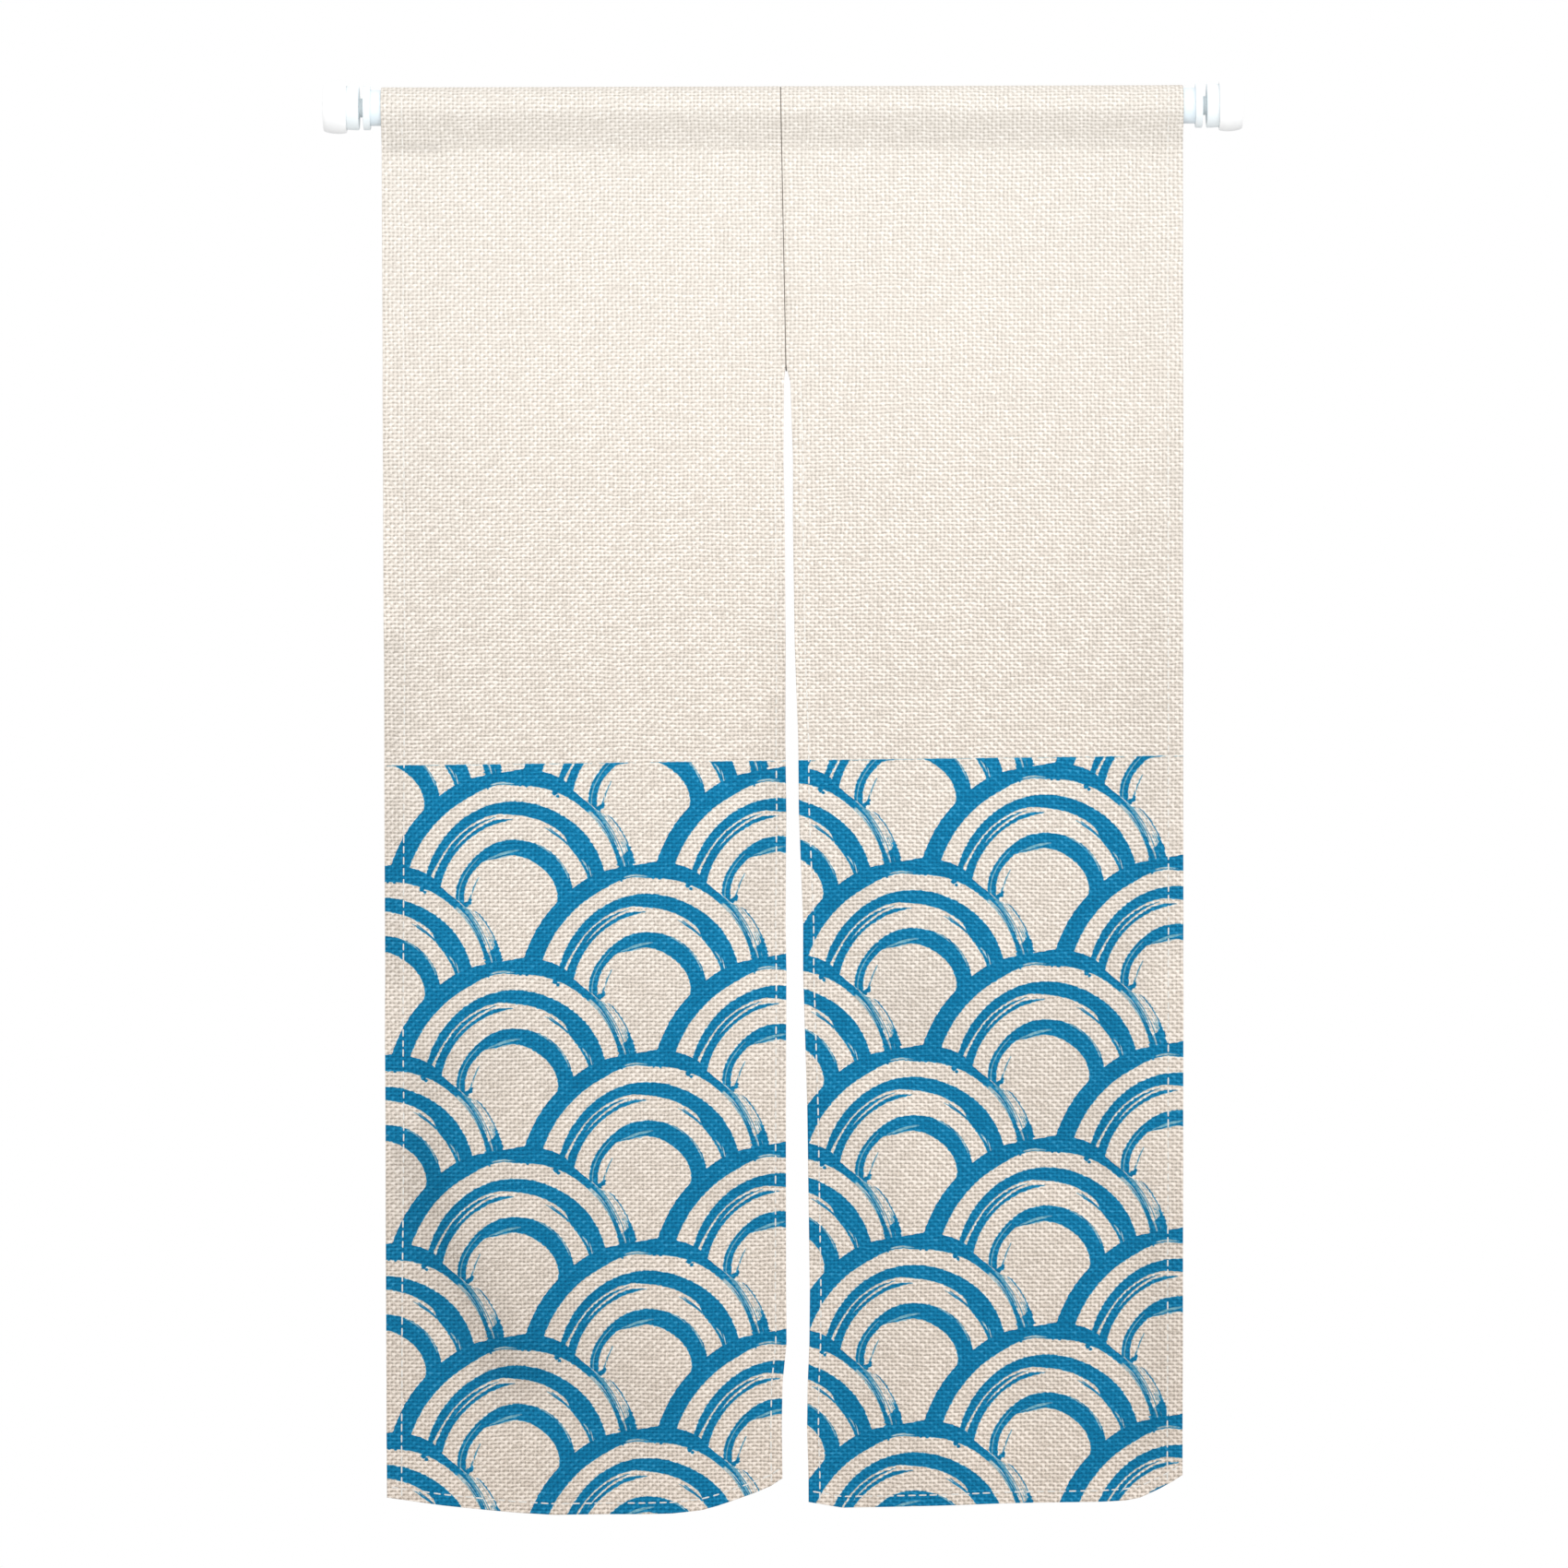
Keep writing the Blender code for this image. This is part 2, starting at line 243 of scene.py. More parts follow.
class MaterialGraph(Graph):
    """The nodes of one material around its Principled shader."""

    def __init__(self, name: str) -> None:
        """Starts a material with its usual two nodes."""
        self.material = bpy.data.materials.new(name)
        self.material.use_nodes = True
        super().__init__(self.material.node_tree)
        self.shader = self.tree.nodes["Principled BSDF"]

    def surface(self, color: bpy.types.NodeSocket, roughness: "Number") -> None:
        """Gives the shader its colour and its roughness."""
        self.plug(self.shader.inputs["Base Color"], color)
        self.plug(self.shader.inputs["Roughness"], roughness)

    def bump(self, height: Value, strength: float, distance: float) -> None:
        """Raises the surface by a height from 0 to 1 times a distance, through the normal."""
        made = self.node(
            "ShaderNodeBump", None, {"Strength": strength, "Distance": distance, "Height": height}
        )
        self.plug(self.shader.inputs["Normal"], made.outputs[0])

    def constants(self, **values: float) -> None:
        """Sets the shader's own sockets, named with _ for a space."""
        for name, value in values.items():
            self.shader.inputs[name.replace("_", " ").title().replace("Ior", "IOR")].default_value = value


# The print


@dataclass(frozen=True)
class Stroke:
    """One brush stroke of a wave scale: where its two edges run round the scale's centre.

    A light streak inside a stroke is one too, and its ink is how strongly it takes the stroke's ink away.

    Args:
        edges: Rows of (angle, inner radius, outer radius): degrees from the top, + to the right, and mm.
        ragged: How far the edges wander, in mm.
        bare: The share that a dry brush leaves bare.
        ink: How strong the ink is.
    """

    edges: tuple[tuple[float, float, float], ...]
    ragged: float = 0.75
    bare: float = 0.0
    ink: float = 1.0


@dataclass(frozen=True)
class Blot:
    """A spot of ink at (angle, radius) with a size in mm."""

    angle: float
    radius: float
    size: float


OUTER_BAND = Stroke((
    (-100, 121, 146), (-90, 117, 142), (-80, 114.5, 138), (-70, 112.3, 136), (-55, 110.4, 134),
    (-40, 109.4, 133), (-25, 109.8, 133), (-14, 112.4, 133), (-7, 112.8, 133), (0, 110.8, 133),
    (14, 112.0, 133), (30, 113.0, 125), (42, 113.0, 121.0), (52, 113.2, 119.0), (62, 113.4, 118.0),
    (82, 113.0, 118.4),
))
MIDDLE_BAND = Stroke((
    (-92, 93.0, 97.0), (-80, 89.6, 95.0), (-70, 86.2, 94.0), (-55, 84.2, 93.3), (-35, 83.4, 93.5),
    (-12, 82.8, 94.3), (-2, 80.4, 94.3), (10, 79.2, 94.0), (30, 78.6, 94.0), (44, 78.0, 95.0),
    (50, 74.8, 95.6), (62, 75.2, 96.5), (75, 78.0, 97.4), (90, 80.0, 98.4),
))
MIDDLE_OUTER_LINE = Stroke((
    (-95, 82.6, 90.0), (-80, 79.6, 86.2), (-65, 77.6, 83.2), (-50, 77.8, 82.2), (-38, 78.0, 81.8),
    (-25, 79.0, 81.0), (-14, 79.8, 80.4),
))
MIDDLE_INNER_LINE = Stroke((
    (-95, 79.4, 85.4), (-80, 76.8, 82.2), (-65, 74.6, 79.6), (-50, 73.2, 76.8), (-35, 72.6, 76.0),
    (-20, 73.0, 77.2), (-10, 73.6, 76.8), (-1, 74.8, 75.6),
))
MIDDLE_DRY_MARK = Stroke(((26, 73.7, 74.0), (35, 72.6, 74.4), (50, 73.8, 75.6)), ragged=0.5)
MIDDLE_DRY_FILL = Stroke(((30, 74.4, 76.0), (40, 74.4, 78.0), (50, 74.4, 78.6)), bare=0.62)
INNER_RING = Stroke((
    (-115, 55.5, 63.0), (-100, 53.4, 62.2), (-90, 52.2, 61.3), (-75, 49.8, 58.8), (-60, 46.8, 56.0),
    (-45, 44.6, 54.6), (-33, 40.0, 54.2), (-20, 37.2, 54.2), (0, 37.2, 53.8), (20, 36.6, 54.3),
    (40, 36.9, 56.0), (60, 39.2, 58.2), (80, 43.2, 61.0), (100, 46.6, 63.2), (115, 47.0, 64.5),
))
RIGHT_FOOT = Stroke((
    (68, 128.8, 130.4), (70.5, 127.4, 131.2), (72.5, 121.0, 131.6), (74.5, 114.5, 131.4), (77, 112.0, 131.6),
    (88, 111.5, 131.5),
), ragged=2.6, bare=0.12)
RIGHT_HAIR = Stroke((
    (47, 125.8, 126.4), (55, 127.6, 129.0), (65, 129.2, 130.4), (76, 129.4, 131.2),
), ragged=0.8)
RIGHT_FRINGE = Stroke((
    (38, 117.5, 122.4), (52, 117.5, 123.0), (62, 117.5, 123.6), (73, 116.5, 125.0),
), ragged=1.2, bare=0.40, ink=0.7)
RIGHT_DRY = Stroke((
    (44, 120.0, 124.0), (55, 120.4, 127.0), (66, 120.2, 129.0), (75, 118.2, 129.5),
), ragged=1.0, bare=0.66, ink=0.6)
LEFT_HOOK_HAIR = Stroke((
    (-104, 47.4, 49.4), (-92, 43.6, 45.2), (-80, 41.0, 42.4), (-68, 39.8, 40.6),
), ragged=0.5, bare=0.2, ink=0.8)

STROKES = (
    OUTER_BAND, MIDDLE_BAND, MIDDLE_OUTER_LINE, MIDDLE_INNER_LINE, MIDDLE_DRY_MARK, MIDDLE_DRY_FILL,
    INNER_RING, RIGHT_FOOT, RIGHT_HAIR, RIGHT_FRINGE, RIGHT_DRY, LEFT_HOOK_HAIR,
)

# Light streaks that the bristles leave inside the strokes
STREAKS = (
    Stroke(((-12, 113.4, 115.2), (-7, 113.2, 115.6), (0, 112.6, 113.6)), bare=0.30),
    Stroke((
        (-40, 43.4, 43.9), (-30, 40.8, 42.6), (-18, 39.8, 42.6), (-4, 40.4, 43.2), (8, 42.6, 43.4),
    ), ragged=0.6, bare=0.2, ink=0.7),
    Stroke(((-30, 37.6, 38.6), (-12, 36.6, 37.8), (2, 36.6, 37.6)), bare=0.45),
    Stroke((
        (-106, 59.0, 60.0), (-90, 57.4, 58.4), (-75, 54.6, 55.6), (-60, 52.1, 53.0), (-46, 51.0, 51.5),
    ), ragged=0.3, ink=0.7),
    Stroke(((44, 113.0, 116.0), (58, 113.6, 118.0), (72, 113.6, 118.4)), bare=0.50),
    Stroke(((28, 53.6, 54.4), (50, 55.2, 56.6), (78, 58.4, 59.6)), bare=0.45),
    Stroke(((66, 78.4, 79.4), (74, 80.6, 83.4), (82, 83.0, 85.0)), bare=0.45),
)

BLOTS = (
    Blot(7.0, 111.4, 1.9), Blot(3.5, 111.4, 1.4), Blot(23.0, 111.8, 3.0), Blot(25.0, 109.6, 1.9),
    Blot(-14.0, 112.0, 1.3), Blot(-106.0, 53.6, 3.0), Blot(-104.6, 51.2, 2.4), Blot(-104.0, 48.6, 2.5),
    Blot(-101.3, 47.0, 1.8),
)

# How far a scale hides the ones above it, as (angle, radius): degrees and mm
COVER = (
    (-120, 138), (-90, 137.5), (-80, 134.4), (-70, 131.8), (-55, 129.6), (-42, 128.0), (-25, 127.6),
    (-14, 125.8), (-4, 125.8), (4, 128.4), (13, 129.2), (24, 127.6), (31, 122.6), (42, 121.0), (48, 123.0),
    (56, 130.4), (72, 131.8), (82, 132.0), (120, 132.0),
)


@dataclass(frozen=True)
class WavePrint:
    """Wave scales in rows, each row half a period along and in front of the one above it.

    Every scale repeats the same strokes. A stroke's edges are curves of radius by angle, and the ink is where
    the radius lies between them. The rows rise slightly to the right, the lower ones more, and the printed
    part starts at a border. Lengths are in mm and angles in degrees.
    """

    # The places of the scales: their period, the rows' spacing, the first centre, and the rows' tilt
    period: float = 281.4
    row_pitch: float = 99.36
    first_x: float = 199.4
    middle_x: float = 488.0
    first_z: float = -826.3
    slope: float = 0.0115
    fan: float = 0.000018
    # The upper border, and the broken hair of ink along it
    border_z: float = -696.6
    border_x: float = 65.0
    border_slope: float = 0.0098
    border_wander: float = 0.5
    border_hair: float = 0.9
    hair_soft: float = 0.35
    hair_ink: float = 0.35
    hair_scale: float = 0.09
    hair_breaks: tuple[float, float] = (0.42, 0.55)
    # The greatest radius and the whole angle that the curves cover
    reach: float = 150.0
    turn: float = 240.0
    # How far the edges are blurred and wander, and how far the threads' relief moves them
    soft: float = 0.55
    end_soft: float = 0.7
    wander_scale: float = 0.16
    lift: float = 0.9
    rim_scale: float = 0.22
    rim_wander: float = 1.3
    streak_wander: float = 0.6
    streak_strength: float = 0.7
    blot_wander: float = 0.8
    blot_soft: float = 0.5
    # The bristles' marks: noise drawn out along the stroke, and the blur of its dry places
    bristle_along: float = 0.035
    bristle_across: float = 0.55
    bristle_low: float = 0.3
    bristle_gain: float = 2.5
    dry_soft: float = 0.10

    def by_angle(self, graph: Graph, angle: Value, rows: tuple, column: int) -> Value:
        """Reads one column of a table by the angle.

        Args:
            graph: The material's nodes.
            angle: Degrees from the top.
            rows: Rows that start with an angle.
            column: The column of radii to read.

        Returns:
            The radius in mm.
        """
        points = [(0.5 + row[0] / self.turn, row[column] / self.reach) for row in rows]
        if points[0][0] > 0.0:
            points.insert(0, (0.0, points[0][1]))
        if points[-1][0] < 1.0:
            points.append((1.0, points[-1][1]))
        return graph.curve(angle / self.turn + 0.5, tuple(points)) * self.reach

    def polar(self, graph: Graph, across: Value, up: Value) -> tuple[Value, Value]:
        """Turns an offset from a centre into degrees from the top and a radius."""
        angle = graph.math("ARCTAN2", across, up) * math.degrees(1.0)
        radius = graph.math("SQRT", across * across + up * up)
        return angle, radius

    def covers(self, graph: Graph, across: Value, up: Value) -> Value:
        """Is 1 where a scale hides what is behind it: its radius there is inside its ragged rim."""
        angle, radius = self.polar(graph, across, up)
        rim = graph.noise(graph.vector(across, up, 7.0), self.rim_scale, 3.0) * (2.0 * self.rim_wander)
        return radius + (rim - self.rim_wander) < self.by_angle(graph, angle, COVER, 1)

    def stroke(
        self, graph: Graph, mark: Stroke, angle: Value, radius: Value, wander: Value, dry: Value
    ) -> Value:
        """The ink of one stroke.

        Args:
            graph: The material's nodes.
            mark: The stroke.
            angle: Degrees from the top.
            radius: Distance from the scale's centre in mm.
            wander: Noise from -1 to 1 that moves the edges.
            dry: Noise from 0 to 1 that runs along the stroke like bristles.

        Returns:
            Ink from 0 to 1.
        """
        moved = radius + wander * mark.ragged
        inner = self.by_angle(graph, angle, mark.edges, 1)
        outer = self.by_angle(graph, angle, mark.edges, 2)
        inked = moved.between(inner, outer, self.soft)
        inked = inked * angle.between(float(mark.edges[0][0]), float(mark.edges[-1][0]), self.end_soft)
        if mark.bare:
            inked = inked * dry.rise(mark.bare - self.dry_soft, mark.bare + self.dry_soft)
        return inked * mark.ink if mark.ink < 1.0 else inked

    def own_scale(self, graph: Graph, x: Value, z: Value) -> tuple[Value, Value]:
        """Finds the scale that shows at a place.

        A place lies below the centres of one row and above those of the next. A scale of the first row, of
        the next or of the one after that can show there, and each hides the ones before it inside its rim.

        Args:
            graph: The material's nodes.
            x: Place along the curtain in mm.
            z: Height in mm.

        Returns:
            The place's offset from that scale's centre, along the curtain and up.
        """
        slope = self.slope + (self.first_z - z) * self.fan
        down = (self.first_z + (x - self.middle_x) * slope - z) / self.row_pitch
        row = down.floor()
        odd = graph.math("FLOORED_MODULO", row, 2.0)
        half = self.period / 2.0
        same = (x - self.first_x - odd * half).wrap(half)
        other = (x - self.first_x - (1 - odd) * half).wrap(half)
        above = (row - down) * self.row_pitch
        next_covers = self.covers(graph, other, above + self.row_pitch)
        last_covers = self.covers(graph, same, above + 2.0 * self.row_pitch)
        next_shows = next_covers * (1 - last_covers)
        across = same + (other - same) * next_shows
        up = above + self.row_pitch * (next_shows + 2.0 * last_covers)
        return across, up

    def scale_ink(self, graph: Graph, across: Value, up: Value, wander: Value) -> tuple[Value, Value]:
        """Draws one whole scale: its strokes, less the light streaks in them, and its blots.

        Args:
            graph: The material's nodes.
            across: Offset from the scale's centre along the curtain in mm.
            up: The same upward.
            wander: Noise from -1 to 1 that moves the edges.

        Returns:
            Ink from 0 to 1, and the marks of the bristles, about 0 to 1.
        """
        angle, radius = self.polar(graph, across, up)
        dry = graph.noise(graph.vector(angle * self.bristle_along, radius * self.bristle_across), 1.0, 3.0)
        dry = (dry - self.bristle_low) * self.bristle_gain
        total = None
        for mark in STROKES:
            inked = self.stroke(graph, mark, angle, radius, wander, dry)
            total = inked if total is None else total.top(inked)
        for streak in STREAKS:
            lifted = self.stroke(graph, streak, angle, radius, wander * self.streak_wander, dry)
            total = total * (1 - lifted * self.streak_strength)
        for blot in BLOTS:
            turn = math.radians(blot.angle)
            aside = across - blot.radius * math.sin(turn)
            over = up - blot.radius * math.cos(turn)
            away = graph.math("SQRT", aside * aside + over * over) + wander * self.blot_wander
            total = total.top(1 - away.rise(blot.size - self.blot_soft, blot.size + self.blot_soft))
        return total, dry

    def ink(self, graph: Graph, x: Value, z: Value, lift: Value) -> tuple[Value, Value]:
        """Works out where the cloth is printed.

        Args:
            graph: The material's nodes.
            x: Place along the curtain in mm.
            z: Height in mm.
            lift: How far the thread stands proud there, from 0 to 1, which roughens the edges.

        Returns:
            Ink from 0 to 1, and the marks of the bristles, about 0 to 1.
        """
        across, up = self.own_scale(graph, x, z)
        noise = graph.noise(graph.vector(across, up), self.wander_scale, 4.0)
        wander = noise * 2.0 - 1.0 + (lift - 0.5) * self.lift
        total, bristles = self.scale_ink(graph, across, up, wander)
        edge = self.border_z + (x - self.border_x) * self.border_slope + wander * self.border_wander
        printed = 1 - z.rise(edge - self.soft, edge + self.soft)
        broken = graph.noise(graph.vector(x, z), self.hair_scale, 3.0).rise(*self.hair_breaks)
        hair = z.between(edge - self.border_hair, edge, self.hair_soft) * broken * self.hair_ink
        return (total * printed).top(hair), bristles


# The finishes


class Face(Enum):
    """The two faces of the cloth."""

    FRONT = "front"
    BACK = "back"


@dataclass(frozen=True)
class ClothFinish:
    """Coarse plain-weave cloth, cream, with the print on its front and a pale ghost of it on its back.

    The weave is a sum of waves: one along each set of threads, one on each diagonal, which together make the
    checkerboard of floats, and products that narrow the gaps. The weave's height also sets its colour: the
    gaps between the threads are painted shade, and the rows' wave is a quarter turn along, so that each row
    is painted lighter along its top and darker below, as under light from above. Slow noise bends the
    threads and fine noise crowds them. Each float has its own brightness, and thick places run along the
    threads. The cream turns warmer from the top to the bottom. Thin ink is a teal wash and full ink is blue,
    mottled and marked by the bristles.
    """

    # The threads' spacings, and how far slow and fine noise move them, in mm
    warp_pitch: float = 4.38
    weft_pitch: float = 4.10
    bend: float = 5.0
    bend_scale: float = 0.012
    crowding: float = 2.4
    crowding_scale: float = 0.08
    # Strengths of the floats, of the rows and columns of thread, and of the painted shade in the gaps between
    # them
    floats: float = 0.270
    rows: float = 0.270
    columns: float = 0.138
    gap_shade: float = 0.098
    narrow: float = 0.046
    # How much single floats, thick places along the threads, and loose fibres vary that
    uneven: float = 0.21
    uneven_floats: float = 0.26
    slubs: float = 0.31
    row_slubs: float = 0.78
    column_slubs: float = 0.46
    slub_along: float = 0.16
    slub_across: float = 1.1
    fuzz: float = 1.25
    fuzz_scale: float = 0.8
    # How far one diagonal outweighs the other, and between which places in mm that turns round
    lean: float = 0.22
    lean_left: float = 240.0
    lean_right: float = 720.0
    # How much the weave is quieter near the top, and between which heights in mm that grows
    calm_from: float = -620.0
    calm_to: float = -180.0
    calm: float = 0.38
    row_calm: float = 0.34
    # The threads' relief in metres, the print's share on the back, and the length in mm of the cream's turn
    relief: float = 0.0006
    relief_strength: float = 0.6
    ghost: float = 0.12
    drop: float = 1450.0
    # How much the threads, slow noise and the bristles vary the blue
    blue_threads: float = 0.65
    blue_mottle: float = 0.25
    blue_bristles: float = 0.16
    mottle_scale: float = 0.05
    cream_high: tuple = (
        (0.0, (0.447, 0.410, 0.363)), (0.25, (0.595, 0.550, 0.494)), (0.50, (0.722, 0.675, 0.613)),
        (0.75, (0.829, 0.784, 0.725)), (1.0, (0.915, 0.876, 0.824)),
    )
    cream_low: tuple = (
        (0.0, (0.410, 0.348, 0.291)), (0.25, (0.574, 0.495, 0.420)), (0.50, (0.735, 0.641, 0.553)),
        (0.75, (0.880, 0.777, 0.682)), (1.0, (0.995, 0.898, 0.806)),
    )
    blue: tuple = (
        (0.0, (0.001, 0.095, 0.211)), (0.25, (0.002, 0.138, 0.280)), (0.50, (0.003, 0.178, 0.363)),
        (0.75, (0.010, 0.235, 0.453)), (1.0, (0.040, 0.320, 0.567)),
    )
    wash: tuple = ((0.2, (0.120, 0.340, 0.440)), (0.8, (0.230, 0.480, 0.570)))

    def weave(self, graph: Graph, x: Value, z: Value) -> Value:
        """The height of the threads, about 0 to 1, from the place in mm."""
        here, there = graph.vector(x, z), graph.vector(x, z, 40.0)
        bend_x = (graph.noise(here, self.bend_scale, 1.0) - 0.5) * self.bend
        bend_z = (graph.noise(there, self.bend_scale, 1.0) - 0.5) * self.bend
        bend_x = bend_x + (graph.noise(here, self.crowding_scale, 1.0) - 0.5) * self.crowding
        bend_z = bend_z + (graph.noise(there, self.crowding_scale, 1.0) - 0.5) * self.crowding
        warp = (x + bend_x) / self.warp_pitch
        weft = (z + bend_z) / self.weft_pitch
        lean = x.rise(self.lean_left, self.lean_right) * (2.0 * self.lean) + (0.5 - self.lean)
        rising = ((warp + weft) * 0.5).swing()
        falling = ((warp - weft) * 0.5).swing()
        checker = rising * lean + falling * (1 - lean)
        uneven = graph.scatter(graph.vector((warp + 0.5).floor(), (weft + 0.5).floor())) - 0.5
        drawn_x = graph.vector(warp * self.slub_along, weft * self.slub_across)
        drawn_z = graph.vector(warp * self.slub_across, weft * self.slub_along, 9.0)
        weft_slub = graph.noise(drawn_x, 1.0, 1.0) - 0.5
        warp_slub = graph.noise(drawn_z, 1.0, 1.0) - 0.5
        fibre = graph.noise(here, self.fuzz_scale, 2.0) - 0.5
        fine = checker * (uneven * self.uneven_floats + self.floats)
        fine = fine + uneven * self.uneven + weft_slub * self.slubs + fibre * self.fuzz
        quiet = z.rise(self.calm_from, self.calm_to)
        # Painted light from above: the rows' wave is a quarter turn along, so each row is lighter along its
        # top and darker below. The gap shade is painted shade where the threads cross and between the rows.
        row, column = weft.swing(0.25), warp.swing(0.12)
        painted_gap_shade = row * column * self.gap_shade + (weft * 2.0).swing(0.5) * self.narrow
        row = row * (weft_slub * self.row_slubs + self.rows)
        column = column * (warp_slub * self.column_slubs + self.columns)
        return fine * (1 - quiet * self.calm) + (row - painted_gap_shade) * (1 - quiet * self.row_calm) + column + 0.5

    def build(self, face: Face) -> bpy.types.Material:
        """Makes the material of one face."""
        graph = MaterialGraph("cloth_" + face.value)
        across, up = graph.place("cloth")
        x, z = across * MM_PER_METRE, up * MM_PER_METRE
        height = self.weave(graph, x, z)
        ink, bristles = WavePrint().ink(graph, x, z, height)
        if face is Face.BACK:
            ink = ink * self.ghost
        high, low = graph.ramp(height, self.cream_high), graph.ramp(height, self.cream_low)
        cream = graph.mix(z / -self.drop, high, low)
        mottled = graph.noise(graph.vector(x, z, 90.0), self.mottle_scale, 3.0) - 0.5
        tone = (height - 0.5) * self.blue_threads + mottled * self.blue_mottle
        blue = graph.ramp(tone + (bristles - 0.5) * self.blue_bristles + 0.5, self.blue)
        thin = graph.mix(ink * 2.0, cream, graph.ramp(height, self.wash))
        printed = graph.mix(ink * 2.0 - 1.0, thin, blue)
        # Painted shade: the creases' trough shade darkens the colour towards black.
        color = graph.mix(graph.attribute("painted_trough_shade"), printed, (0.0, 0.0, 0.0, 1.0))
        graph.surface(color, 0.92 - ink * 0.10)
        graph.bump(height, self.relief_strength, self.relief)
        graph.constants(specular_ior_level=0.1)
        return graph.material


@dataclass(frozen=True)
class ThreadFinish:
    """Twisted sewing thread: fine slanted plies with a little fuzz."""

    name: str
    dark: tuple[float, float, float]
    light: tuple[float, float, float]
    plies: float = 900.0

    def build(self) -> bpy.types.Material:
        """Makes the material."""
        graph = MaterialGraph(self.name)
        place = graph.object_place()
        wave = graph.node(
            "ShaderNodeTexWave", {"bands_direction": "DIAGONAL"},
            {"Vector": place, "Scale": self.plies, "Distortion": 1.5},
        )
        height = Value(graph, wave.outputs[1])
        color = graph.ramp(height, ((0.0, self.dark), (1.0, self.light)))
        graph.surface(color, 0.6 + graph.noise(place, 400.0) * 0.2)
        graph.bump(height, 0.4, 0.0002)
        return graph.material


@dataclass(frozen=True)
class HardFinish:
    """A white coat or moulding: faint mottling, orange peel and uneven gloss."""

    name: str
    color: tuple[float, float, float]
    shade: tuple[float, float, float]
    roughness: float
    spread: float
    peel_scale: float
    peel: float
    coat: float = 0.0

    def build(self) -> bpy.types.Material:
        """Makes the material."""
        graph = MaterialGraph(self.name)
        place = graph.object_place()
        color = graph.ramp(graph.noise(place, 35.0, 4.0), ((0.3, self.shade), (0.7, self.color)))
        gloss = graph.noise(place, 120.0, 3.0)
        graph.surface(color, self.roughness + (gloss - 0.5) * self.spread)
        graph.bump(graph.noise(place, self.peel_scale, 2.0), 0.35, self.peel)
        graph.constants(coat_weight=self.coat, coat_roughness=0.15)
        return graph.material


# Shared mesh work


def grid_quads(index: np.ndarray) -> np.ndarray:
    """The four-cornered faces of a grid of vertex numbers: their normal is down crossed with along."""
    return np.stack([index[:-1, :-1], index[1:, :-1], index[1:, 1:], index[:-1, 1:]], axis=-1).reshape(-1, 4)


def make_piece(
    name: str, corners: np.ndarray, faces: list | np.ndarray, material: bpy.types.Material
) -> bpy.types.Object:
    """Makes one piece of the object that rides on the frame's body.

    Args:
        name: The piece's name.
        corners: Places of the vertices, one row each.
        faces: Vertex numbers of each face.
        material: Its finish.

    Returns:
        The new object.
    """
    mesh = bpy.data.meshes.new(name)
    mesh.from_pydata(corners.tolist(), [], [list(face) for face in faces])
    mesh.materials.append(material)
    mesh.shade_smooth()
    mesh.update()
    piece = bpy.data.objects.new(name, mesh)
    bpy.context.scene.collection.objects.link(piece)
    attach(piece, BODY)
    return piece


def ease(t: np.ndarray) -> np.ndarray:
    """Goes from 0 to 1 with level ends."""
    t = np.clip(t, 0.0, 1.0)
    return t * t * (3.0 - 2.0 * t)


def arc_lengths(path: np.ndarray) -> np.ndarray:
    """Distances along a path of points, from 0."""
    steps = np.linalg.norm(np.diff(path, axis=0), axis=1)
    return np.concatenate([[0.0], np.cumsum(steps)])


# The hanging cloth


class Side(Enum):
    """The two panels, as seen from the front."""

    LEFT = "left"
    RIGHT = "right"


@dataclass(frozen=True)
class Fold:
    """A soft fold along the curve through three points.

    Its depth is a bell curve of the distance from that curve, with one width to its left and one to its
    right. Below a power of 2 the bell is peaked like a crease. The shade is painted shade: it darkens the
    cloth's colour along its trough by the same bell, and blunt is how far its ridge is rounded off.
    """

    top: tuple[float, float]
    middle: tuple[float, float]
    low: tuple[float, float]
    left_width: float
    right_width: float
    depth: float
    shade: float = 0.0
    power: float = 2.0
    blunt: float = 0.003
    steps: int = 18

    def line(self) -> np.ndarray:
        """Points on the fold's curve: a parabola in each direction."""
        t = np.linspace(0.0, 1.0, self.steps + 1)[:, None]
        top, middle, low = (np.array(point) for point in (self.top, self.middle, self.low))
        return (1.0 - t) * (1.0 - 2.0 * t) * top + 4.0 * t * (1.0 - t) * middle + t * (2.0 * t - 1.0) * low

    def bell(self, x: np.ndarray, z: np.ndarray) -> np.ndarray:
        """The fold's share at each place, from 1 on its line to 0."""
        line = self.line()
        nearest = np.full(x.shape, np.inf)
        side = np.zeros(x.shape)
        for start, end in zip(line, line[1:]):
            run_x, run_z = end - start
            length = math.hypot(run_x, run_z)
            from_x, from_z = x - start[0], z - start[1]
            along = np.clip((from_x * run_x + from_z * run_z) / length**2, 0.0, 1.0)
            away = np.hypot(from_x - along * run_x, from_z - along * run_z)
            across = (run_z * from_x - run_x * from_z) / length
            closer = away < nearest
            nearest = np.where(closer, away, nearest)
            side = np.where(closer, across / np.maximum(away, TINY), side)
        width = (self.left_width * (1.0 + side) + self.right_width * (1.0 - side)) / 2.0
        return np.exp(-((np.hypot(nearest, self.blunt) / width) ** self.power))


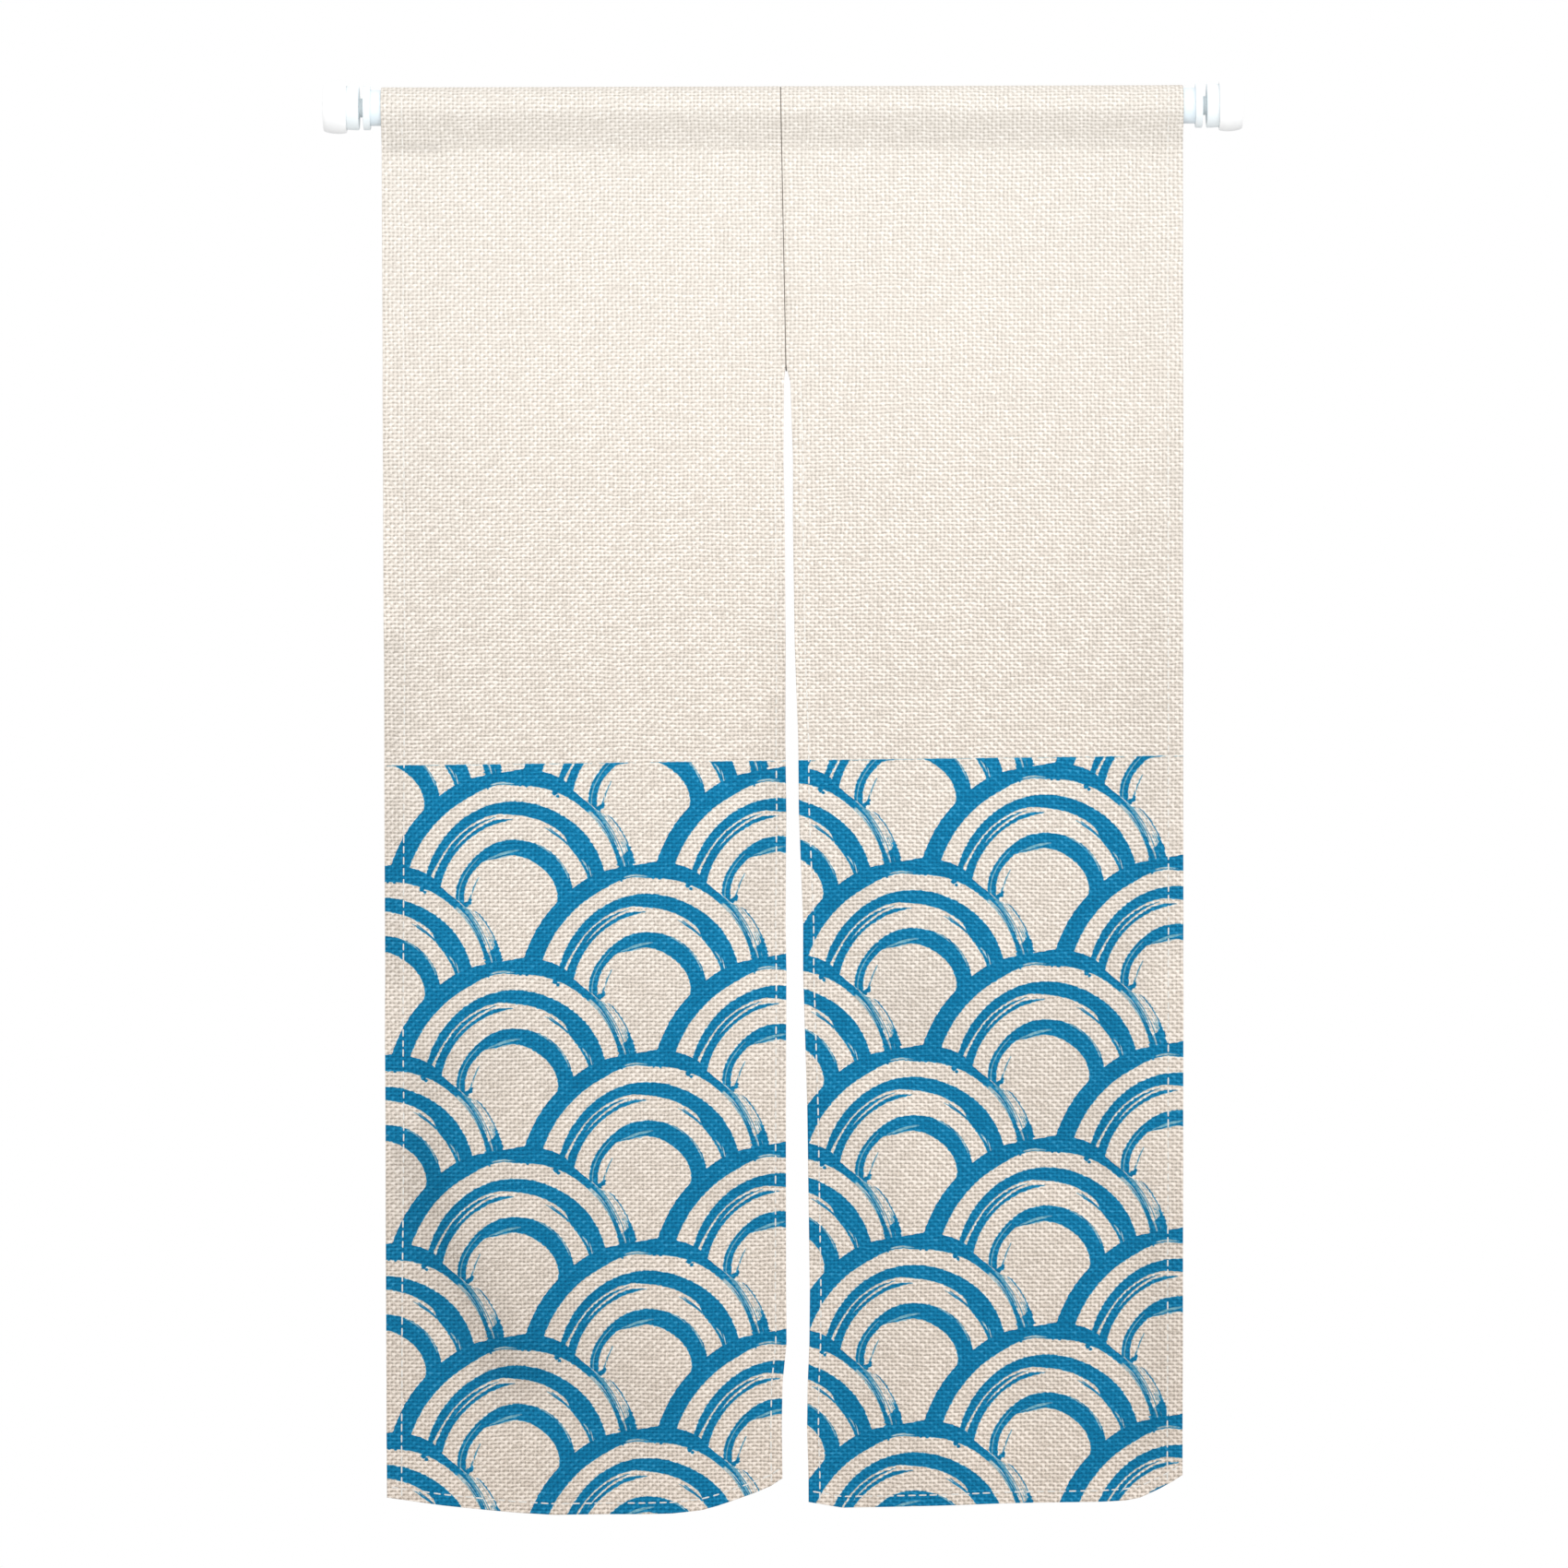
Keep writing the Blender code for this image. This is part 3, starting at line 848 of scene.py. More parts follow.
# The folds of the solids, and under them the finer creases that only the fine sheets have
FOLDS = {
    Side.LEFT: (
        Fold((0.076, -0.420), (0.080, -0.520), (0.072, -0.660), 0.030, 0.060, 0.006),
        Fold((0.095, -1.060), (0.119, -1.196), (0.197, -1.352), 0.035, 0.075, 0.016),
        Fold((0.197, -1.352), (0.245, -1.390), (0.300, -1.425), 0.040, 0.070, 0.008),
        Fold((0.245, -0.960), (0.300, -1.140), (0.345, -1.330), 0.080, 0.080, -0.009),
        Fold((0.486, -0.570), (0.470, -0.720), (0.444, -0.860), 0.035, 0.060, 0.010),
        Fold((0.262, -1.055), (0.290, -1.035), (0.325, -1.010), 0.030, 0.040, 0.005),
        Fold((0.425, -1.180), (0.445, -1.280), (0.440, -1.440), 0.045, 0.060, 0.009),
        Fold((0.240, -0.340), (0.265, -0.600), (0.270, -0.820), 0.090, 0.090, -0.005),
    ),
    Side.RIGHT: (
        Fold((0.866, -0.170), (0.862, -0.400), (0.852, -0.640), 0.070, 0.040, 0.007),
        Fold((0.853, -0.740), (0.838, -0.960), (0.803, -1.115), 0.050, 0.050, 0.010),
        Fold((0.558, -0.880), (0.578, -0.960), (0.600, -1.000), 0.045, 0.045, 0.007),
        Fold((0.600, -1.000), (0.680, -1.070), (0.790, -1.125), 0.040, 0.055, 0.006),
        Fold((0.690, -0.300), (0.680, -0.600), (0.700, -0.900), 0.090, 0.090, -0.006),
        Fold((0.640, -1.180), (0.635, -1.300), (0.640, -1.440), 0.060, 0.060, -0.008),
        Fold((0.705, -1.160), (0.708, -1.260), (0.700, -1.370), 0.035, 0.045, 0.006),
        Fold((0.858, -1.190), (0.868, -1.300), (0.860, -1.440), 0.050, 0.040, 0.011),
        Fold((0.540, -1.130), (0.542, -1.240), (0.536, -1.440), 0.040, 0.045, 0.006),
    ),
}
# A crease's shade is painted shade, which darkens the cloth's colour along its trough; those of depth 0 are
# painted shade only.
CREASES = {
    Side.LEFT: (
        Fold((0.096, -1.060), (0.114, -1.205), (0.180, -1.345), 0.018, 0.036, 0.006, power=1.3),
        Fold((0.092, -1.115), (0.125, -1.225), (0.196, -1.350), 0.034, 0.036, 0.000, shade=0.16),
        Fold((0.060, -1.200), (0.130, -1.335), (0.240, -1.450), 0.055, 0.055, 0.000, shade=0.06),
        Fold((0.058, -0.590), (0.057, -0.740), (0.060, -0.920), 0.026, 0.026, 0.008, shade=0.06),
        Fold((0.489, -0.600), (0.488, -0.760), (0.470, -0.900), 0.024, 0.024, 0.006),
        Fold((0.486, -0.640), (0.470, -0.760), (0.452, -0.860), 0.018, 0.026, 0.000, shade=0.06),
        Fold((0.485, -0.090), (0.487, -0.180), (0.4885, -0.275), 0.009, 0.009, 0.0016, shade=0.05),
        Fold((0.072, -0.0425), (0.095, -0.0440), (0.120, -0.0430), 0.005, 0.005, 0.000, shade=0.22),
        Fold((0.060, -0.0395), (0.275, -0.0395), (0.487, -0.0395), 0.011, 0.011, 0.000, shade=0.03),
        Fold((0.060, 0.0120), (0.275, 0.0120), (0.487, 0.0120), 0.007, 0.007, 0.000, shade=0.05),
    ),
    Side.RIGHT: (
        Fold((0.915, -0.420), (0.915, -0.650), (0.912, -0.900), 0.030, 0.030, 0.008),
        Fold((0.874, -0.460), (0.872, -0.680), (0.866, -0.880), 0.032, 0.036, 0.000, shade=0.04),
        Fold((0.846, -0.900), (0.826, -1.020), (0.798, -1.150), 0.028, 0.028, 0.002, shade=0.03),
        Fold((0.876, -1.220), (0.878, -1.330), (0.868, -1.430), 0.032, 0.032, 0.000, shade=0.08),
        Fold((0.4845, -0.090), (0.4875, -0.180), (0.489, -0.275), 0.009, 0.009, 0.0016, shade=0.04),
        Fold((0.487, -0.0395), (0.695, -0.0395), (0.912, -0.0395), 0.011, 0.011, 0.000, shade=0.03),
        Fold((0.487, 0.0120), (0.695, 0.0120), (0.912, 0.0120), 0.007, 0.007, 0.000, shade=0.05),
    ),
}

# Where the panels' upright edges run by height: side by side down to -0.275, and apart in the slit below
EDGE_COLUMNS = ("z", "left_outer", "left_inner", "right_inner", "right_outer")
EDGE_LEVELS = (
    (0.030, 0.0613, 0.4836, 0.4842, 0.9102),
    (-0.275, 0.0618, 0.4886, 0.4892, 0.9096),
    (-0.291, 0.0616, 0.4868, 0.4936, 0.9098),
    (-0.375, 0.0617, 0.4860, 0.4962, 0.9096),
    (-0.435, 0.0616, 0.4872, 0.4958, 0.9095),
    (-0.570, 0.0617, 0.4878, 0.4974, 0.9092),
    (-0.670, 0.0616, 0.4872, 0.5008, 0.9090),
    (-0.745, 0.0618, 0.4880, 0.5012, 0.9089),
    (-0.865, 0.0620, 0.4868, 0.5054, 0.9087),
    (-0.915, 0.0621, 0.4876, 0.5052, 0.9083),
    (-1.060, 0.0619, 0.4866, 0.5092, 0.9074),
    (-1.255, 0.0623, 0.4862, 0.5114, 0.9067),
    (-1.310, 0.0624, 0.4866, 0.5108, 0.9065),
    (-1.352, 0.0626, 0.4822, 0.5088, 0.9062),
    (-1.400, 0.0624, 0.4812, 0.5080, 0.9058),
    (-1.450, 0.0627, 0.4818, 0.5094, 0.9056),
)

# The bottom edges, as (x, z) points along the curtain
BOTTOM_EDGES = {
    Side.LEFT: (
        (0.063, -1.4722), (0.122, -1.4800), (0.200, -1.4880), (0.240, -1.4910), (0.335, -1.4902),
        (0.365, -1.4892), (0.395, -1.4860), (0.412, -1.4818), (0.435, -1.4745), (0.455, -1.4676),
        (0.470, -1.4612), (0.481, -1.4538),
    ),
    Side.RIGHT: (
        (0.510, -1.4785), (0.545, -1.4843), (0.625, -1.4817), (0.720, -1.4801), (0.820, -1.4785),
        (0.845, -1.4772), (0.860, -1.4745), (0.880, -1.4656), (0.895, -1.4573), (0.905, -1.4508),
    ),
}


def edge_x(edge: str, z: np.ndarray | float) -> np.ndarray:
    """Where an upright edge runs at a height: straight runs between the levels."""
    column = EDGE_COLUMNS.index(edge)
    levels = EDGE_LEVELS[::-1]
    return np.interp(z, [level[0] for level in levels], [level[column] for level in levels])


@dataclass(frozen=True)
class Hang:
    """How the cloth hangs: over the rod in its pocket, then down in folds and one broad wave."""

    tube_radius: float = 0.019
    pocket_radius: float = 0.0209
    stitch_z: float = -0.043
    flap_end_z: float = -0.050
    body_top_z: float = -0.060
    layer_offset: float = 0.00145
    wave_length: float = 0.235
    wave_depth: float = 0.0045
    wave_phase: float = 0.6
    folds_start_z: float = -0.09
    folds_full_z: float = -0.32
    curtain_drop: float = 1.49
    tension: float = 0.7
    rim_steps: tuple[float, ...] = (0.0, 0.0002, 0.0007, 0.0013, 0.0030, 0.0050)
    under_steps: tuple[float, ...] = (0.0035, 0.0070, 0.0120)
    arc_steps: int = 30
    layer_steps: int = 12

    def depth(self, side: Side, x: np.ndarray, z: np.ndarray) -> np.ndarray:
        """How far back the hanging cloth lies.

        The folds' bell curves and a sine wave along X are summed, and both grow downward from the pocket.

        Args:
            side: The panel.
            x: Places along the curtain.
            z: Heights.

        Returns:
            Distances towards +Y.
        """
        grown = ease((self.folds_start_z - z) / (self.folds_start_z - self.folds_full_z))
        drop = np.maximum(-z, 0.0) / self.curtain_drop
        wave = self.wave_depth * drop * np.sin(2.0 * math.pi * x / self.wave_length + self.wave_phase)
        folds = sum(fold.depth * fold.bell(x, z) for fold in FOLDS[side] + CREASES[side] if fold.depth)
        return grown * (folds + wave)

    def painted_trough_shade(self, side: Side, x: np.ndarray, z: np.ndarray) -> np.ndarray:
        """The painted shade at each place: how far the creases darken the cloth's colour along their troughs.
        """
        return sum(fold.shade * fold.bell(x, z) for fold in CREASES[side] if fold.shade)

    def eased_curve(self, start: tuple, start_slope: tuple, end: tuple, end_slope: tuple) -> np.ndarray:
        """Points after start on a cubic curve between two (y, z) points with the given end slopes."""
        t = np.linspace(0.0, 1.0, self.layer_steps + 1)[1:, None]
        return (
            (2 * t**3 - 3 * t**2 + 1) * np.array(start) + (t**3 - 2 * t**2 + t) * np.array(start_slope)
            + (-2 * t**3 + 3 * t**2) * np.array(end) + (t**3 - t**2) * np.array(end_slope)
        )

    def pocket_section(self) -> np.ndarray:
        """The (y, z) points of the pocket's middle surface, round the rod.

        They go from the flap's low end up the back on a cubic curve, over the tube on a circle, down the
        front on a cubic curve to the stitches, and a little further down. Each curve meets the circle with
        the circle's own slope.

        Returns:
            One row for each point.
        """
        lean = math.asin(self.pocket_radius / -self.stitch_z)
        leave = (self.pocket_radius * math.cos(lean), -self.pocket_radius * math.sin(lean))
        reach = leave[1] - self.stitch_z
        rim = np.array(self.rim_steps)
        flap = np.stack([np.full(rim.shape, self.layer_offset), self.flap_end_z + rim], axis=1)
        stitched = (self.layer_offset, self.stitch_z)
        slope = (reach * math.sin(lean), reach * math.cos(lean))
        up_back = self.eased_curve(stitched, (0.0, reach * self.tension), leave, slope)
        turn = np.linspace(-lean, math.pi + lean, self.arc_steps + 1)[1:]
        over = self.pocket_radius * np.stack([np.cos(turn), np.sin(turn)], axis=1)
        down_front = self.eased_curve(
            tuple(over[-1]), (slope[0], -slope[1]),
            (-self.layer_offset, self.stitch_z), (0.0, -reach * self.tension),
        )
        under = np.array(self.under_steps)
        low = np.stack([np.full(under.shape, -self.layer_offset), self.stitch_z - under], axis=1)
        return np.concatenate([flap, [stitched], up_back, over, down_front, low])


@dataclass
class Panel:
    """One cloth panel: a fine grid of its middle surface, made a closed sheet with rounded edges and hems.

    Args:
        side: Which panel it is.
        hang: The shape it hangs in.
        left_stitches: Distances of the left stitch line from that edge, high up and at the bottom.
        right_stitches: The same of the right stitch line.

    The other fields are sizes in metres, or counts of the grid's columns.
    """

    side: Side
    hang: Hang
    left_stitches: tuple[float, float]
    right_stitches: tuple[float, float]
    stitch_levels: tuple[float, float] = (-0.60, -1.45)
    cloth_half: float = 0.0008
    hem_front: float = 0.00015
    hem_back: float = 0.0005
    hem_overlap: float = 0.0022
    hem_step: float = 0.0016
    bottom_stitches: tuple[float, float] = (0.0118, 0.0118)
    rim_radius: float = 0.0012
    groove: float = 0.0003
    groove_width: float = 0.0008
    rim_columns: int = 5
    line_columns: int = 5
    slit_top: float = -0.285
    even_width: float = 0.42
    pitch: float = 0.0048
    points: np.ndarray = field(init=False)
    normals: np.ndarray = field(init=False)
    front: np.ndarray = field(init=False)
    back: np.ndarray = field(init=False)

    @property
    def edges(self) -> tuple[str, str]:
        """The names of its two upright edges."""
        return ("left_outer", "left_inner") if self.side is Side.LEFT else ("right_inner", "right_outer")

    def stitch_distance(self, line: tuple[float, float], z: np.ndarray | float) -> np.ndarray:
        """How far a stitch line runs from its edge at some heights."""
        high, low = self.stitch_levels
        return np.interp(z, [low, high], line[::-1])

    def rim_places(self, line: tuple[float, float], z: np.ndarray | float) -> np.ndarray:
        """Distances from an edge of the close columns at the rim, in the hem and round its stitch line.

        Args:
            line: The stitch line's distances, high up and at the bottom.
            z: Heights.

        Returns:
            One row of distances for each height.
        """
        stitch = np.atleast_1d(self.stitch_distance(line, z))[:, None]
        rim = np.array([0.0, 0.0002, 0.0006, 0.0012, 0.0024])
        count = int(round(max(line) / self.pitch))
        share = np.arange(1, count)[None] / count
        hem = rim[-1] + (stitch - self.groove_width - rim[-1]) * share
        thin = self.hem_overlap + self.hem_step
        beside = np.array([-self.groove_width, 0.0, self.groove_width, self.hem_overlap, thin])
        return np.concatenate([np.repeat(rim[None], len(stitch), 0), hem, stitch + beside], axis=1)

    def columns(self, width: np.ndarray, z_left: np.ndarray, z_right: np.ndarray) -> np.ndarray:
        """Distances of the grid's columns from the left edge: close in the two hems and even between them.

        Args:
            width: The panel's width, one row for each grid row, the same or not in each column.
            z_left: The height of each grid row at the left stitch line.
            z_right: The same at the right one.

        Returns:
            The distances as a grid.
        """
        first = self.rim_places(self.left_stitches, z_left)
        last = self.rim_places(self.right_stitches, z_right)[:, ::-1]
        share = np.linspace(0.0, 1.0, int(round(self.even_width / self.pitch)))[None, 1:-1]
        total = first.shape[1] + share.shape[1] + last.shape[1]
        width = np.broadcast_to(width, (len(first), total))
        inside = width[:, first.shape[1]:-last.shape[1]]
        middle = first[:, -1:] + (inside - first[:, -1:] - last[:, :1]) * share
        return np.concatenate([first, middle, width[:, -last.shape[1]:] - last], axis=1)

    def lay_out(self) -> None:
        """Works out the middle surface as a grid: rows go from the flap's end to the bottom edge.

        The pocket's rows carry its section along X. The body's rows go from the pocket to the bottom edge,
        evenly at first and closer at the hem, and each point lies back by the hang's depth there.
        """
        section = self.hang.pocket_section()
        outer, inner = self.edges
        z_pocket = section[:, 1]
        left = edge_x(outer, z_pocket)[:, None]
        places = self.columns(edge_x(inner, z_pocket)[:, None] - left, z_pocket, z_pocket)
        pocket = np.stack(
            [left + places, np.broadcast_to(section[:, :1], places.shape),
             np.broadcast_to(section[:, 1:], places.shape)], axis=-1
        )
        bottom = np.array(BOTTOM_EDGES[self.side])
        low_left = float(edge_x(outer, bottom[0, 1]))
        low_right = float(edge_x(inner, bottom[-1, 1]))
        low_x = low_left + self.columns(np.array([[low_right - low_left]]), bottom[:1, 1], bottom[-1:, 1])[0]
        low_z = np.interp(low_x, bottom[:, 0], bottom[:, 1])
        close = self.rim_places(self.bottom_stitches, 0.0)[0, ::-1]
        top = self.hang.body_top_z
        share = np.linspace(0.0, 1.0, int(round((top - low_z.min()) / self.pitch)))[:, None]
        z = np.concatenate([top + (low_z + close[0] - top) * share, low_z + close[1:, None]])
        left = edge_x(outer, z)
        x = left + self.columns(edge_x(inner, z) - left, z[:, 0], z[:, -1])
        y = -self.hang.layer_offset + self.hang.depth(self.side, x, z)
        self.points = np.concatenate([pocket, np.stack([x, y, z], axis=-1)])

    def distance_down(self) -> np.ndarray:
        """Distances down the cloth from the flap's end, along each column of the grid."""
        steps = np.linalg.norm(np.diff(self.points, axis=0), axis=2)
        return np.concatenate([np.zeros((1, self.points.shape[1])), np.cumsum(steps, axis=0)])

    def thicken(self) -> None:
        """Works out the front and the back of the sheet.

        The front is the middle surface moved along its normal and the back is moved the other way. Both
        distances are the cloth's half thickness, more in the hems, less in the stitch lines, and fall to
        nothing along a quarter circle at the rim, where front and back share their corners.
        """
        grid = self.points
        along, down = np.gradient(grid, axis=1), np.gradient(grid, axis=0)
        normal = np.cross(down, along)
        self.normals = normal / np.linalg.norm(normal, axis=2, keepdims=True)

        from_left = grid[:, :, 0] - grid[:, :1, 0]
        from_right = grid[:, -1:, 0] - grid[:, :, 0]
        drop = self.distance_down()
        from_bottom = drop[-1:] - drop
        rim = np.minimum(np.minimum(from_left, from_right), np.minimum(drop, from_bottom))
        roundness = np.sqrt(1.0 - (1.0 - np.clip(rim / self.rim_radius, 0.0, 1.0)) ** 2)
        past_hems = (
            from_left - self.stitch_distance(self.left_stitches, grid[:, :1, 2]),
            from_right - self.stitch_distance(self.right_stitches, grid[:, -1:, 2]),
            from_bottom - self.bottom_stitches[0],
        )
        past_lines = (*past_hems, drop - drop[self.pocket_row])
        hem = np.max([1.0 - ease((past - self.hem_overlap) / self.hem_step) for past in past_hems], axis=0)
        dent = np.max([np.exp(-((past / self.groove_width) ** 2)) for past in past_lines], axis=0)
        front_by = (self.cloth_half + self.hem_front * hem - self.groove * dent) * roundness
        back_by = (self.cloth_half + self.hem_back * hem - self.groove * dent) * roundness
        self.front = grid + self.normals * front_by[:, :, None]
        self.back = grid - self.normals * back_by[:, :, None]

    @staticmethod
    def both_faces(front: np.ndarray, back: np.ndarray) -> np.ndarray:
        """Lists a grid of rows for the front, and then the rows inside the rim of one for the back."""
        width = front.shape[2]
        return np.concatenate([front.reshape(-1, width), back[1:-1, 1:-1].reshape(-1, width)])

    def dress(self, piece: bpy.types.Object) -> None:
        """Gives the sheet its UV map and the painted shade of its creases' troughs.

        The map holds the place along the curtain and the height, in metres. From the body's top it goes on
        up the cloth by the distance along it, so that the weave runs over the pocket unbroken.
        """
        mesh, grid, drop = piece.data, self.points, self.distance_down()
        start = len(self.hang.pocket_section())
        above = np.arange(len(grid))[:, None] < start
        cloth_z = np.where(above, self.hang.body_top_z + (drop[start] - drop), grid[:, :, 2])
        places = np.stack([grid[:, :, 0], cloth_z], axis=-1)
        corner_of = np.empty(len(mesh.loops), dtype=np.int32)
        mesh.loops.foreach_get("vertex_index", corner_of)
        flat = self.both_faces(places, places)[corner_of]
        mesh.uv_layers.new(name="cloth").data.foreach_set("uv", flat.astype(np.float32).ravel())
        # Painted shade of the creases, kept at the vertices for the cloth's colour.
        painted_trough_shade = self.hang.painted_trough_shade(self.side, grid[:, :, 0], grid[:, :, 2])[:, :, None]
        shade = self.both_faces(painted_trough_shade, painted_trough_shade).astype(np.float32).ravel()
        mesh.attributes.new("painted_trough_shade", "FLOAT", "POINT").data.foreach_set("value", shade)

    def build(self, finishes: tuple[bpy.types.Material, bpy.types.Material], node: str) -> bpy.types.Object:
        """Makes the sheet.

        Args:
            finishes: The materials of the front and the back.
            node: The solid that it stands for.

        Returns:
            The panel's object.
        """
        self.lay_out()
        self.thicken()
        rows, columns = self.points.shape[:2]
        index = np.arange(rows * columns).reshape(rows, columns)
        under = index.copy()
        under[1:-1, 1:-1] = rows * columns + np.arange((rows - 2) * (columns - 2)).reshape(rows - 2, -1)
        corners = self.both_faces(self.front, self.back)
        front_faces, back_faces = grid_quads(index), grid_quads(under)[:, ::-1]
        faces = np.concatenate([front_faces, back_faces])
        piece = make_piece("cloth_" + self.side.value, corners, faces, finishes[0])
        piece.data.materials.append(finishes[1])
        piece.data.polygons.foreach_set(
            "material_index", np.repeat([0, 1], [len(front_faces), len(back_faces)]).astype(np.int32)
        )
        self.dress(piece)
        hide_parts(node)
        log.info("%s: %d faces", piece.name, len(faces))
        return piece

    def hem_paths(self) -> list[tuple[np.ndarray, np.ndarray]]:
        """The front of the cloth along the two side lines and the bottom one, as (points, normals).

        The inner side line starts where the slit does.
        """
        first, last = self.line_column(self.left_stitches), -1 - self.line_column(self.right_stitches)
        bottom = -1 - self.line_column(self.bottom_stitches)
        top = int(np.argmax(self.points[:, 0, 2]))
        slit = top + int(np.argmax(self.points[top:, 0, 2] < self.slit_top))
        starts = (top, slit) if self.side is Side.LEFT else (slit, top)
        end = 1 - self.rim_columns
        places = (
            (slice(starts[0], end), first), (slice(starts[1], end), last),
            (bottom, slice(self.rim_columns - 1, end)),
        )
        return [(self.front[place], self.normals[place]) for place in places]

    def pocket_path(self) -> list[tuple[np.ndarray, np.ndarray]]:
        """The front of the cloth along the line that closes the pocket, as (points, normals)."""
        place = (self.pocket_row, slice(self.rim_columns - 1, 1 - self.rim_columns))
        return [(self.front[place], self.normals[place])]

    @property
    def pocket_row(self) -> int:
        """The grid row of the front layer that the pocket's stitches run along."""
        section = self.hang.pocket_section()
        sewn = (section[:, 0] < 0) & (np.abs(section[:, 1] - self.hang.stitch_z) < TINY)
        return int(np.argmax(sewn))

    def line_column(self, line: tuple[float, float]) -> int:
        """The number of the grid line that a stitch line lies on, counted from its edge."""
        return self.rim_places(line, 0.0).shape[1] - self.line_columns + 1


# Threads


@dataclass(frozen=True)
class Stitching:
    """Running stitches: each is a flattened pill of thread on the cloth, pointed where it dives in.

    Its cross-section is an ellipse, whose size follows a rounded profile along the stitch, and it lies proud
    of the cloth by a share of its height. Wander and stretch are the spread of the stitches' places and
    lengths.
    """

    length: float = 0.0081
    gap: float = 0.0032
    half_width: float = 0.00085
    height: float = 0.00036
    wander: float = 0.0004
    stretch: float = 0.06
    proud: float = 0.3
    first_seed: int = 11
    around: int = 8
    profile: tuple[tuple[float, float], ...] = (
        (-1.0, 0.0), (-0.93, 0.55), (-0.75, 0.9), (0.0, 1.0), (0.75, 0.9), (0.93, 0.55), (1.0, 0.0),
    )

    def along(self, points: np.ndarray, normals: np.ndarray, seed: int) -> tuple[np.ndarray, np.ndarray]:
        """Makes the stitches of one line.

        Args:
            points: The line on the cloth.
            normals: The cloth's normals there.
            seed: Seed of the small unevenness.

        Returns:
            Vertices and faces.
        """
        reach = arc_lengths(points)
        count = int(reach[-1] / (self.length + self.gap))
        step = reach[-1] / count
        uneven = np.random.default_rng(seed)
        middle = (np.arange(count) + 0.5) * step + uneven.normal(0.0, self.wander, count)
        stretch = 1.0 + uneven.normal(0.0, self.stretch, count)
        shape = np.array(self.profile)
        rings = len(shape)
        at = middle[:, None] + shape[None, :, 0] * (self.length / 2.0) * stretch[:, None]
        spine = np.stack([np.interp(at, reach, points[:, axis]) for axis in range(3)], axis=-1)
        up = np.stack([np.interp(at, reach, normals[:, axis]) for axis in range(3)], axis=-1)
        ahead = np.gradient(spine, axis=1)
        ahead /= np.linalg.norm(ahead, axis=2, keepdims=True)
        beside = np.cross(ahead, up)
        beside /= np.linalg.norm(beside, axis=2, keepdims=True)
        turn = np.arange(self.around) / self.around * 2.0 * math.pi
        size = shape[None, :, 1, None, None]
        wide = np.cos(turn)[None, None, :, None] * self.half_width * size
        high = np.sin(turn)[None, None, :, None] * self.height * size + self.proud * self.height
        ring = spine[:, :, None] + beside[:, :, None] * wide + up[:, :, None] * high
        body = ring[:, 1:-1].reshape(count, -1, 3)
        per = 2 + (rings - 2) * self.around
        corners = np.concatenate([ring[:, 0, :1], body, ring[:, -1, :1]], axis=1)
        index = 1 + np.arange((rings - 2) * self.around).reshape(rings - 2, self.around)
        after = np.roll(index, -1, axis=1)
        quads = np.stack([index[:-1], after[:-1], after[1:], index[1:]], axis=-1).reshape(-1, 4)
        first, last = np.zeros(self.around, int), np.full(self.around, per - 1)
        fan_first = np.stack([first, after[0], index[0], first], axis=-1)
        fan_last = np.stack([last, index[-1], after[-1], last], axis=-1)
        one = np.concatenate([quads, fan_first, fan_last])
        faces = one[None] + (np.arange(count) * per)[:, None, None]
        return corners.reshape(-1, 3), faces.reshape(-1, 4)

    def build(self, name: str, paths: list, material: bpy.types.Material) -> bpy.types.Object:
        """Sews some lines and joins them in one piece.

        Args:
            name: The piece's name.
            paths: The lines on the cloth, as (points, normals).
            material: The thread.

        Returns:
            The stitches' object.
        """
        corners, faces, used = [], [], 0
        for number, (points, normals) in enumerate(paths):
            more, loops = self.along(points, normals, number + self.first_seed)
            corners.append(more)
            faces.append(loops + used)
            used += len(more)
        rows = [list(dict.fromkeys(face)) for face in np.concatenate(faces).tolist()]
        piece = make_piece(name, np.concatenate(corners), rows, material)
        log.info("%s: %d faces", piece.name, len(rows))
        return piece


